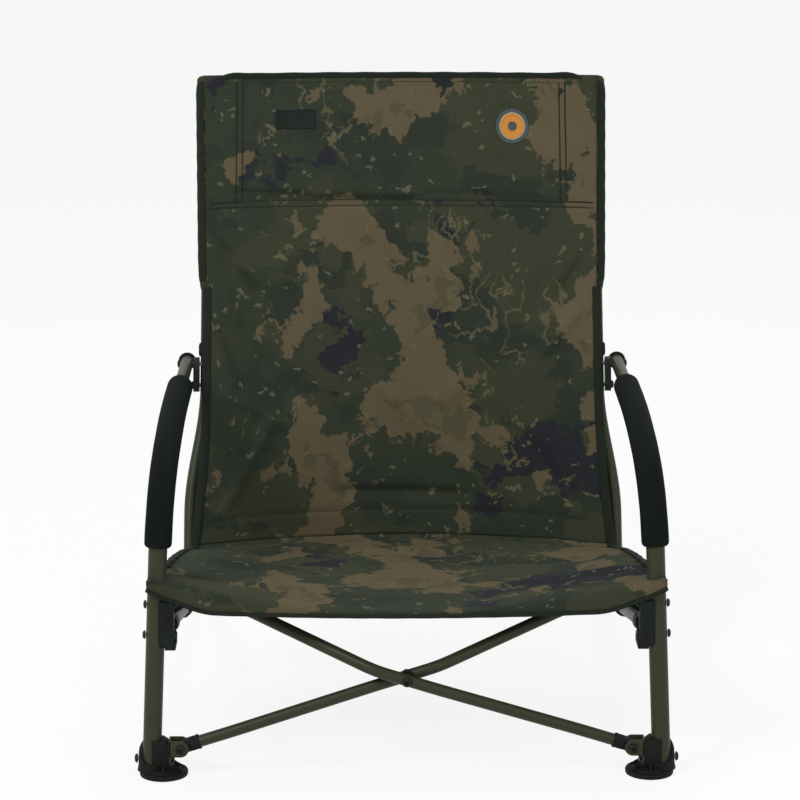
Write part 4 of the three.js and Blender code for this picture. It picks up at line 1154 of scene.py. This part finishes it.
def back_half(height):
    if height >= WAIST:
        return post_x(height)
    if height >= BEND_HIGH:
        share = (height - BEND_HIGH) / (WAIST - BEND_HIGH)
        return CLOTH_WAIST + (WAIST_X - CLOTH_WAIST) * share * share
    share = (BEND_HIGH - height) / (BEND_HIGH - SEAT_REAR_HEIGHT)
    return CLOTH_WAIST + (seat_edge_x(1) - CLOTH_WAIST) * share * share


def back_low(u):
    """Height of the lower edge of the back, which sags with the seat"""
    middle = 1 - (2 * u - 1) ** 2
    return SEAT_REAR_HEIGHT + (SEAT_MID_REAR - SEAT_REAR_HEIGHT) * middle + BACK_ABOVE_SEAT


def back_surface(u, v, lift=0.0):
    across = 2 * u - 1
    middle = 1 - across * across
    low = back_low(u)
    height = low + (BACK_TOP - low) * v
    share = (BACK_TOP - height) / (BACK_TOP - SEAT_REAR_HEIGHT)
    bow = TOP_BOW + (CREASE_BOW - TOP_BOW) * max(share, 0) ** 2.2
    room = BAND_ROOM * clamped((WAIST - height) / (WAIST - BAND_TOP))
    x = back_half(height) * across
    fade = min(1, middle * 5)
    swell = wrinkle(x, height, BACK_FOLDS)
    swell += 1.5 * noise.noise(Vector((x * 0.012, height * 0.02, 3.3)))
    swell += 0.7 * noise.noise(Vector((x * 0.04 + height * 0.02, height * 0.03, 9.1)))
    if height > HEAD_SEAM:
        rise = (height - HEAD_SEAM) / (BACK_TOP - HEAD_SEAM)
        swell += 3.0 * math.sin(math.pi * min(rise * 1.15, 1)) * max(0, 1 - (x / SIDE_SEAM_X) ** 4)
    for seam_height in (HEAD_SEAM, HEAD_SEAM + HEAD_SEAM_GAP, SEAT_SEAM):
        swell -= 1.6 * ridge(height - seam_height, 2.4)
    if height > HEAD_SEAM:
        swell -= 0.9 * ridge(abs(x) - SIDE_SEAM_X, 1.8)
    depth = post_depth(height) - STANDOFF - room + bow * middle
    depth -= (swell + lift) * fade * 0.9 + lift * (1 - fade)
    return point(x, depth, height)


def back_spot(u, height, lift):
    """The place on the back at a share of its width and at a height"""
    low = back_low(u)
    return back_surface(u, (height - low) / (BACK_TOP - low), lift)


BACK_CUT = cut_of(back_surface)
back = sheet_piece("back_cloth", back_surface, 170, 190, BACK_CUT, "root", "back_sling")

# Post pockets: the sides of the back cloth are folded round the posts and sewn down above the arms.
# Each pocket is a sleeve of the same cloth, closed over the tip of the post.
POCKET_RADIUS = 9.6 * MM
POCKET_STEPS = 70
POCKET_SIDES = 36
POCKET_TIP = ((1.5, 0.98), (4, 0.8), (5.5, 0.4))


def pocket(side):
    route = [post_at(WAIST + (POST_TOP - WAIST) * i / POCKET_STEPS) for i in range(POCKET_STEPS + 1)]
    tip = route[-1]
    way = (route[-1] - route[-2]).normalized()
    radii = []
    for i in range(POCKET_STEPS + 1):
        ripple = 0.5 * noise.noise(Vector((i * 0.35, side * 5.0, 1.0))) + 0.25 * math.sin(i * 0.9)
        radii.append(POCKET_RADIUS + (ripple - 1.7 * math.exp(-i / 2.5)) * MM)
    route += [tip + way * beyond * MM for beyond, _ in POCKET_TIP]
    radii += [POCKET_RADIUS * share for _, share in POCKET_TIP]
    return rings(mirrored(route, side), radii, POCKET_SIDES)


for word, side, body in SIDES:
    verts, faces = pocket(side)
    sleeve = make_piece("post_pocket_" + word, verts, faces, camo, body)
    layer = sleeve.data.uv_layers.new(name=MAP)
    for loop in sleeve.data.loops:
        place = sleeve.data.vertices[loop.vertex_index].co
        layer.data[loop.index].uv = (place.x + place.y * 0.5 + side * 0.4, place.z)

# Seat cloth: it hangs between the rails, rolls down over its bound front edge and turns down at the
# sides. Its front corners pass in front of the legs and round them.
SEAT_DEPTH = post_depth(SEAT_REAR_HEIGHT) - POST_RADIUS / MM - CLOTH - CLOTH_GAP
LIP = 0.07
CURL = 0.95
CURL_RADIUS = 14
CORNER_X = 276
CORNER_DEPTH = -11.5
CORNER_SHARE = 0.12
CORNER_CLEAR = 2
CORNER_RUN = 34
HEM_HEIGHT = 177
HEM_SAG = 4
HEM_LEVEL_X = 205
HEM_RISE_RUN = 72
HEM_RISE = 30
LIP_DEPTH = 6
SEAT_FOLDS = (
    (-240, 40, -120, 70, 10, -1.8),
    (240, 60, 130, 90, 11, 1.8),
    (-200, 150, -60, 190, 16, 1.6),
    (210, 180, 80, 230, 15, -1.6),
    (-60, 60, 80, 64, 12, 1.2),
    (-120, 290, 120, 300, 12, -1.8),
    (-20, 120, 110, 140, 14, -1.2),
    (150, 20, 190, 120, 9, -1.4),
)


def lip_height(x):
    """Height of the front hem: level in the middle, and rising to the legs"""
    share = min(abs(x) / HEM_LEVEL_X, 1)
    rise = clamped((abs(x) - HEM_LEVEL_X) / HEM_RISE_RUN)
    return HEM_HEIGHT + HEM_SAG * share * share + HEM_RISE * rise**1.5


def seat_surface(u, v, lift=0.0):
    across = 2 * u - 1
    middle = 1 - across * across
    main = clamped((v - LIP) / (CURL - LIP))
    depth = main * (SEAT_DEPTH + CREASE_BOW * middle)
    height = seat_edge_height(main) + (seat_mid_height(main) - seat_edge_height(main)) * middle - 1.5
    corner = clamped((abs(across) - 1 + CORNER_SHARE) / CORNER_SHARE)
    corner *= clamped(1 - (depth - CORNER_CLEAR) / CORNER_RUN)
    corner = corner * corner * (3 - 2 * corner)
    x = (seat_edge_x(main) + corner * (CORNER_X - seat_edge_x(main))) * across
    fade = min(1, middle * 4)
    if v < LIP:
        share = 1 - v / LIP
        low = lip_height(x)
        turn = share * math.pi / 2
        depth = LIP_DEPTH - 6.4 * math.sin(min(turn * 1.6, math.pi / 2))
        height = height + (low - height) * (1 - math.cos(turn)) ** 0.9
    else:
        depth = LIP_DEPTH + depth * (1 - LIP_DEPTH / (SEAT_DEPTH + CREASE_BOW * middle))
        swell = wrinkle(x, depth, SEAT_FOLDS)
        swell += 1.6 * noise.noise(Vector((x * 0.014, depth * 0.02, 7.7)))
        ease = min((v - LIP) / 0.08, 1)
        height += (swell * fade + lift) * ease
        turn = math.pi / 2 * max(v - CURL, 0) / (1 - CURL)
        depth += 1 - CURL_RADIUS * (1 - math.sin(turn))
        depth += CURL_RADIUS * clamped(1 - (v - LIP) / (CURL - LIP))
        height += CURL_RADIUS * (1 - math.cos(turn))
    depth += corner * (CORNER_DEPTH - depth)
    return point(x, depth, height)


SEAT_CUT = cut_of(seat_surface)
seat = sheet_piece("seat_cloth", seat_surface, 170, 130, SEAT_CUT, "rail_left", "seat_sling")

# Rail sleeves: loops of dark tape sewn under each side of the seat, with a web up to the cloth. The
# rail is pushed through them, and they leave a gap for the lug that holds the crossed tube.
RAIL_FRONT = 24
RAIL_REAR = 298
SLEEVE_SPANS = ((53, 62), (88, 264))
SLEEVE_WALL = 2.4 * MM
SLEEVE_SIDES = 28
WEB_STEPS = 24
WEB_HALF = 1.2
WEB_SAG_SHARE = 0.2
WEB_BELOW_SEAT = 2.6


def on_rail(depth):
    return rail_route[0].lerp(rail_route[1], (depth - RAIL_FRONT) / (RAIL_REAR - RAIL_FRONT))


def sleeve_web(side, start, end):
    """The flat web between a sleeve and the underside of the seat"""
    verts = []
    for i in range(WEB_STEPS + 1):
        depth = start + (end - start) * i / WEB_STEPS
        rail = on_rail(depth)
        share = depth / (SEAT_DEPTH + CREASE_BOW * WEB_SAG_SHARE)
        edge = seat_edge_height(share)
        top = edge + (seat_mid_height(share) - edge) * WEB_SAG_SHARE - WEB_BELOW_SEAT
        for offset in (-WEB_HALF, WEB_HALF):
            x = side * (RAIL_PIN[0] + offset) * MM
            verts += [Vector((x, rail.y, rail.z)), Vector((x, rail.y, max(top * MM, rail.z)))]
    faces = [(0, 1, 3, 2), tuple(4 * WEB_STEPS + k for k in (2, 3, 1, 0))]
    for a in range(0, 4 * WEB_STEPS, 4):
        b = a + 4
        faces += [(a, b, b + 1, a + 1), (a + 2, a + 3, b + 3, b + 2)]
        faces += [(a + 1, b + 1, b + 3, a + 3), (a, a + 2, b + 2, b)]
    return verts, faces


for word, side, body in SIDES:
    shapes = []
    for start, end in SLEEVE_SPANS:
        ends = mirrored([on_rail(start), on_rail(end)], side)
        shapes.append(rings(ends, [RAIL_RADIUS + SLEEVE_WALL] * 2, SLEEVE_SIDES))
        shapes.append(sleeve_web(side, start, end))
    verts, faces = merged(*shapes)
    make_piece("rail_sleeve_" + word, verts, faces, binding, "rail_" + word)

# Bindings: dark green woven tape folded over the raw edges of back, pockets and seat, and sewn through.
# It ripples a little along its length, most at the sides of the seat.
TAPE_SIDES = 20
BACK_SIDE_STEPS = 100
BACK_SIDE_POINTS = 55
TOP_STEPS = 80
TOP_WIDTH = 480
TOP_DROP = 4
CORNER_DROP = 8
CORNER_WIDTH = 24
BUMP_RISE = 2.0
BUMP_INSET = 34
BUMP_WIDTH = 12
SEAT_FRONT_STEPS = 120
SEAT_SIDE_STEPS = 90
SEAT_SIDE_FIRST = 4


def edge_tape(name, route, wide, thick, body, ripple):
    """A flattened roll along an edge, wide across the view and thin along it"""
    verts = []
    for i, centre in enumerate(route):
        before = route[max(i - 1, 0)]
        after = route[min(i + 1, len(route) - 1)]
        way = (after - before).normalized()
        out = way.cross(Vector((0, 1, 0.2))).normalized()
        up = way.cross(out)
        wave = 1 + ripple * math.sin(i * 0.8) + ripple * noise.noise(Vector((i * 0.3, 0, 0)))
        for j in range(TAPE_SIDES):
            angle = 2 * math.pi * j / TAPE_SIDES
            reach = out * (math.cos(angle) * wide * wave * MM) + up * (math.sin(angle) * thick * wave * MM)
            verts.append(centre + reach)
    return make_piece(name, verts, ring_faces(len(route), TAPE_SIDES), binding, body)


back_bindings = []
for word, u in (("left", 0.0), ("right", 1.0)):
    route = [back_surface(u, i / BACK_SIDE_STEPS) for i in range(BACK_SIDE_POINTS)]
    back_bindings.append(edge_tape("back_side_binding_" + word, route, 5.2, 2.2, "root", 0.02))
top_route = []
for i in range(TOP_STEPS + 1):
    u = i / TOP_STEPS
    place = back_surface(u, 1.0)
    from_side = (0.5 - abs(u - 0.5)) * TOP_WIDTH
    corner = CORNER_DROP * ridge(from_side, CORNER_WIDTH)
    bump = BUMP_RISE * ridge(from_side - BUMP_INSET, BUMP_WIDTH)
    place.z += (bump - corner - TOP_DROP) * MM
    top_route.append(place)
back_bindings.append(edge_tape("back_top_binding", top_route, 6.6, 3.2, "root", 0.03))

WRAP_STEPS = 70
WRAP_ARC_STEPS = 14
WRAP_START = WAIST + 6
WRAP_LENGTH = 678 - WAIST
WRAP_OUTER = POCKET_RADIUS + 1.5 * MM
WRAP_INNER = POCKET_RADIUS - 0.6 * MM


def pocket_wrap():
    """A curved strip with two layers round the outer side of a pocket, drawn in at both ends"""
    verts = []
    faces = []
    for i in range(WRAP_STEPS + 1):
        centre = post_at(WRAP_START + WRAP_LENGTH * i / WRAP_STEPS)
        taper = 0.22 * math.exp(-i / 2.2) + 0.3 * math.exp(-(WRAP_STEPS - i) / 1.4)
        ripple = 1 + 0.015 * math.sin(i * 0.9) - taper
        for layer_radius in (WRAP_OUTER, WRAP_INNER):
            for j in range(WRAP_ARC_STEPS + 1):
                angle = math.radians(-82 + 150 * j / WRAP_ARC_STEPS)
                reach = Vector((math.cos(angle), math.sin(angle) * 0.95, -math.sin(angle) * 0.35))
                verts.append(centre + reach * layer_radius * ripple)
    layer = WRAP_ARC_STEPS + 1
    row = 2 * layer
    for start in range(0, WRAP_STEPS * row, row):
        for a in range(start, start + WRAP_ARC_STEPS):
            b = a + layer
            faces += [(a, a + 1, a + row + 1, a + row), (b, b + row, b + row + 1, b + 1)]
        a = start
        faces.append((a, a + row, a + layer + row, a + layer))
        a = start + WRAP_ARC_STEPS
        faces.append((a, a + layer, a + layer + row, a + row))
    last = WRAP_STEPS * row
    for a in range(WRAP_ARC_STEPS):
        faces.append((a, a + layer, a + layer + 1, a + 1))
        faces.append((last + a, last + a + 1, last + a + layer + 1, last + a + layer))
    return verts, faces


for word, side, body in SIDES:
    verts, faces = moved(pocket_wrap(), side)
    make_piece("pocket_binding_" + word, verts, faces, binding, body)

seat_bindings = []
hem_route = [seat_surface(i / SEAT_FRONT_STEPS, 0.0) for i in range(SEAT_FRONT_STEPS + 1)]
seat_bindings.append(edge_tape("seat_front_binding", hem_route, 2.4, 4.0, "rail_left", 0.03))
for word, u in (("left", 0.0), ("right", 1.0)):
    steps = range(SEAT_SIDE_FIRST, SEAT_SIDE_STEPS + 1)
    route = [seat_surface(u, LIP + (1 - LIP) * i / SEAT_SIDE_STEPS) for i in steps]
    seat_bindings.append(edge_tape("seat_side_binding_" + word, route, 5.0, 2.6, "rail_left", 0.18))

# Seams: dark thread in lockstitch. Two rows run under the head panel, two up each side of it, and one
# each along the back's top hem, above the fold at the seat and beside the seat's front hem. One tree of
# nodes lays the stitches on a line.
STITCH_PITCH = 3.6 * MM
STITCH_LENGTH = 2.5 * MM
STITCH_WIDTH = 1.0 * MM
SEAM_LIFT = 1.2
ACROSS_STEPS = 120
UP_STEPS = 50
PANEL_LOW = HEAD_SEAM + HEAD_SEAM_GAP
PANEL_HIGH = BACK_TOP - 10
WELT_SIDES = 8
HEM_STEPS = 160


def thread_finish():
    thread = Finish("dark_thread")
    twist = thread.grain(thread.place(), 2600.0, 2.0)
    colour = thread.blend(twist, tone(20, 24, 17), tone(36, 41, 29))
    return thread.finish(colour, 0.7, twist, 0.0001, specular=0.2)


def stitch_tree(material):
    """Lays a small oval stitch at each pitch of a line, turned along it"""
    tree, start = new_tree("stitches", ["Pitch", "Length", "Width"])
    nodes = tree.nodes
    links = tree.links
    curve = nodes.new("GeometryNodeMeshToCurve")
    spaced = nodes.new("GeometryNodeCurveToPoints")
    spaced.mode = "LENGTH"
    ball = nodes.new("GeometryNodeMeshUVSphere")
    ball.inputs["Segments"].default_value = 6
    ball.inputs["Rings"].default_value = 4
    ball.inputs["Radius"].default_value = 0.5
    size = nodes.new("ShaderNodeCombineXYZ")
    align = nodes.new("FunctionNodeAlignRotationToVector")
    align.axis = "Z"
    place = nodes.new("GeometryNodeInstanceOnPoints")
    links.new(start.outputs["Geometry"], curve.inputs["Mesh"])
    links.new(curve.outputs["Curve"], spaced.inputs["Curve"])
    links.new(start.outputs["Pitch"], spaced.inputs["Length"])
    links.new(spaced.outputs["Points"], place.inputs["Points"])
    links.new(spaced.outputs["Tangent"], align.inputs["Vector"])
    links.new(align.outputs["Rotation"], place.inputs["Rotation"])
    links.new(ball.outputs["Mesh"], place.inputs["Instance"])
    links.new(start.outputs["Width"], size.inputs["X"])
    links.new(start.outputs["Width"], size.inputs["Y"])
    links.new(start.outputs["Length"], size.inputs["Z"])
    links.new(size.outputs[0], place.inputs["Scale"])
    return close_tree(tree, place.outputs["Instances"], material)


thread = thread_finish()
stitches = stitch_tree(thread)


def seam(name, lines, body):
    verts = []
    edges = []
    for line in lines:
        edges.extend((len(verts) + i, len(verts) + i + 1) for i in range(len(line) - 1))
        verts.extend(line)
    inputs = {"Pitch": STITCH_PITCH, "Length": STITCH_LENGTH, "Width": STITCH_WIDTH}
    piece = grown(name, verts, (), stitches, inputs, edges)
    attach(piece, body)
    return piece


def back_line(height, start, end):
    """A line across the back at a height, between two shares of its width"""
    line = []
    for i in range(ACROSS_STEPS + 1):
        line.append(back_spot(start + (end - start) * i / ACROSS_STEPS, height, SEAM_LIFT))
    return line


def surface_at(x, height, lift):
    return back_spot((x / back_half(height) + 1) / 2, height, lift)


def back_upright(x):
    """A line up the head panel, from its lower seam to its top hem"""
    line = []
    for i in range(UP_STEPS + 1):
        line.append(surface_at(x, PANEL_LOW + (PANEL_HIGH - PANEL_LOW) * i / UP_STEPS, SEAM_LIFT))
    return line


def seam_shade_tubes(name, lines, body):
    """Thin tubes in the dark thread colour along the seams: painted shade of the creases there"""
    tubes = [rings(line, [radius * MM] * len(line), WELT_SIDES) for line, radius in lines]
    verts, faces = merged(*tubes)
    return make_piece(name, verts, faces, thread, body)


# Painted shade: dark tubes along the head panel's seams stand for the shadow in the seam creases.
back_welts = seam_shade_tubes(
    "back_welts",
    [
        (back_line(PANEL_LOW - 1, 0.01, 0.99), 0.9),
        (back_line(HEAD_SEAM - 1, 0.01, 0.99), 0.6),
        (back_upright(-SIDE_SEAM_X - 1), 0.7),
        (back_upright(SIDE_SEAM_X + 1), 0.7),
        (back_upright(-SIDE_SEAM_X + 6), 0.5),
        (back_upright(SIDE_SEAM_X - 6), 0.5),
    ],
    "root",
)
back_seams = seam(
    "back_stitches",
    [
        back_line(HEAD_SEAM, 0.03, 0.97),
        back_line(PANEL_LOW, 0.03, 0.97),
        back_line(SEAT_SEAM, 0.03, 0.97),
        back_line(BACK_TOP - 9, 0.03, 0.97),
        back_upright(-SIDE_SEAM_X),
        back_upright(-SIDE_SEAM_X + 7),
        back_upright(SIDE_SEAM_X),
        back_upright(SIDE_SEAM_X - 7),
    ],
    "root",
)
hem_line = [seat_surface(0.02 + 0.96 * i / HEM_STEPS, LIP * 1.6, 1.3) for i in range(HEM_STEPS + 1)]
seat_seams = seam("seat_stitches", [hem_line], "rail_left")

# Badges: a moulded rubber tab with a raised rim and a round patch of flat coloured rings, both sewn
# flat to the head panel. They follow the hollow of the cloth.
def badge_rubber(name, dark, light):
    skin = Finish(name)
    place = skin.place()
    grain = skin.grain(place, 600.0, 3.0)
    colour = skin.blend(grain, dark, light)
    return skin.finish(colour, 0.6, grain, 0.0001, specular=0.12)


tab_rubber = badge_rubber("tab_rubber", tone(18, 28, 24), tone(27, 37, 32))
ring_amber = badge_rubber("patch_amber", tone(196, 130, 52), tone(214, 150, 70))
ring_slate = badge_rubber("patch_slate", tone(66, 78, 82), tone(84, 95, 97))
ring_pale = badge_rubber("patch_pale", tone(150, 150, 132), tone(170, 168, 148))

BADGE_LIFT = 1.0
TAB_PLACE = (-127, 639)
TAB_HALF = (24.5, 10.75)
TAB_CORNER = 3
TAB_THICK = 1.8
PATCH_PLACE = (134, 631)
PATCH_SIDES = 48


def tab_outline():
    """A rectangle with rounded corners, round the place of the tab"""
    outline = []
    corners = ((1, 1, 0), (-1, 1, 90), (-1, -1, 180), (1, -1, 270))
    for sign_x, sign_z, start in corners:
        x = TAB_PLACE[0] + sign_x * (TAB_HALF[0] - TAB_CORNER)
        z = TAB_PLACE[1] + sign_z * (TAB_HALF[1] - TAB_CORNER)
        outline += arc((x, z), TAB_CORNER, start, start + 90, 8)
    return outline


def loft_patch(outline, centre, thick):
    """A badge of any outline that lies on the cloth, with a raised rim and a lower field"""
    verts = []
    top = BADGE_LIFT + thick
    field = BADGE_LIFT + thick * 0.7
    steps = ((1.0, BADGE_LIFT), (1.0, BADGE_LIFT + thick * 0.8), (0.97, top))
    steps += ((0.92, top), (0.89, field), (0.45, field))
    for share, lift in steps:
        for x, z in outline:
            px = centre[0] + (x - centre[0]) * share
            pz = centre[1] + (z - centre[1]) * share
            verts.append(surface_at(px, pz, lift))
    return verts, ring_faces(len(steps), len(outline))


verts, faces = loft_patch(tab_outline(), TAB_PLACE, TAB_THICK)
plain_tab = make_piece("plain_tab", verts, faces, tab_rubber, "root")
patches = []
rounds = (
    ("patch_rim", 19.6, 1.6, ring_slate),
    ("patch_line", 15.6, 1.9, ring_pale),
    ("patch_field", 14.4, 2.3, ring_amber),
    ("patch_dot", 5.2, 2.6, ring_slate),
)
for name, radius, thick, material in rounds:
    outline = arc(PATCH_PLACE, radius, 0, 360 - 360 / PATCH_SIDES, PATCH_SIDES - 1)
    verts, faces = loft_patch(outline, PATCH_PLACE, thick)
    patches.append(make_piece(name, verts, faces, material, "root"))

# Post bands: a turn of black woven webbing, sewn round each post just above the arm bracket. Its edges
# are rounded off and its middle is drawn in a little.
BAND_LOW = 373.5
BAND_HEIGHT = 13
BAND_SIDES = 32
BAND_RADII = (9.2, 9.8, 9.9, 9.7, 9.9, 9.8, 9.2)

for word, side, body in SIDES:
    last = len(BAND_RADII) - 1
    route = [post_at(BAND_LOW + BAND_HEIGHT * i / last) for i in range(len(BAND_RADII))]
    radii = [radius * MM for radius in BAND_RADII]
    verts, faces = rings(mirrored(route, side), radii, BAND_SIDES)
    make_piece("webbing_band_" + word, verts, faces, band_tape, body, ("post_band_" + word,))

# Back and seat pieces: each gets a mesh of its own.
for piece in [back, back_seams, back_welts, plain_tab, *patches, *back_bindings]:
    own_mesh(piece)
for piece in [seat, seat_seams, *seat_bindings]:
    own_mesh(piece)
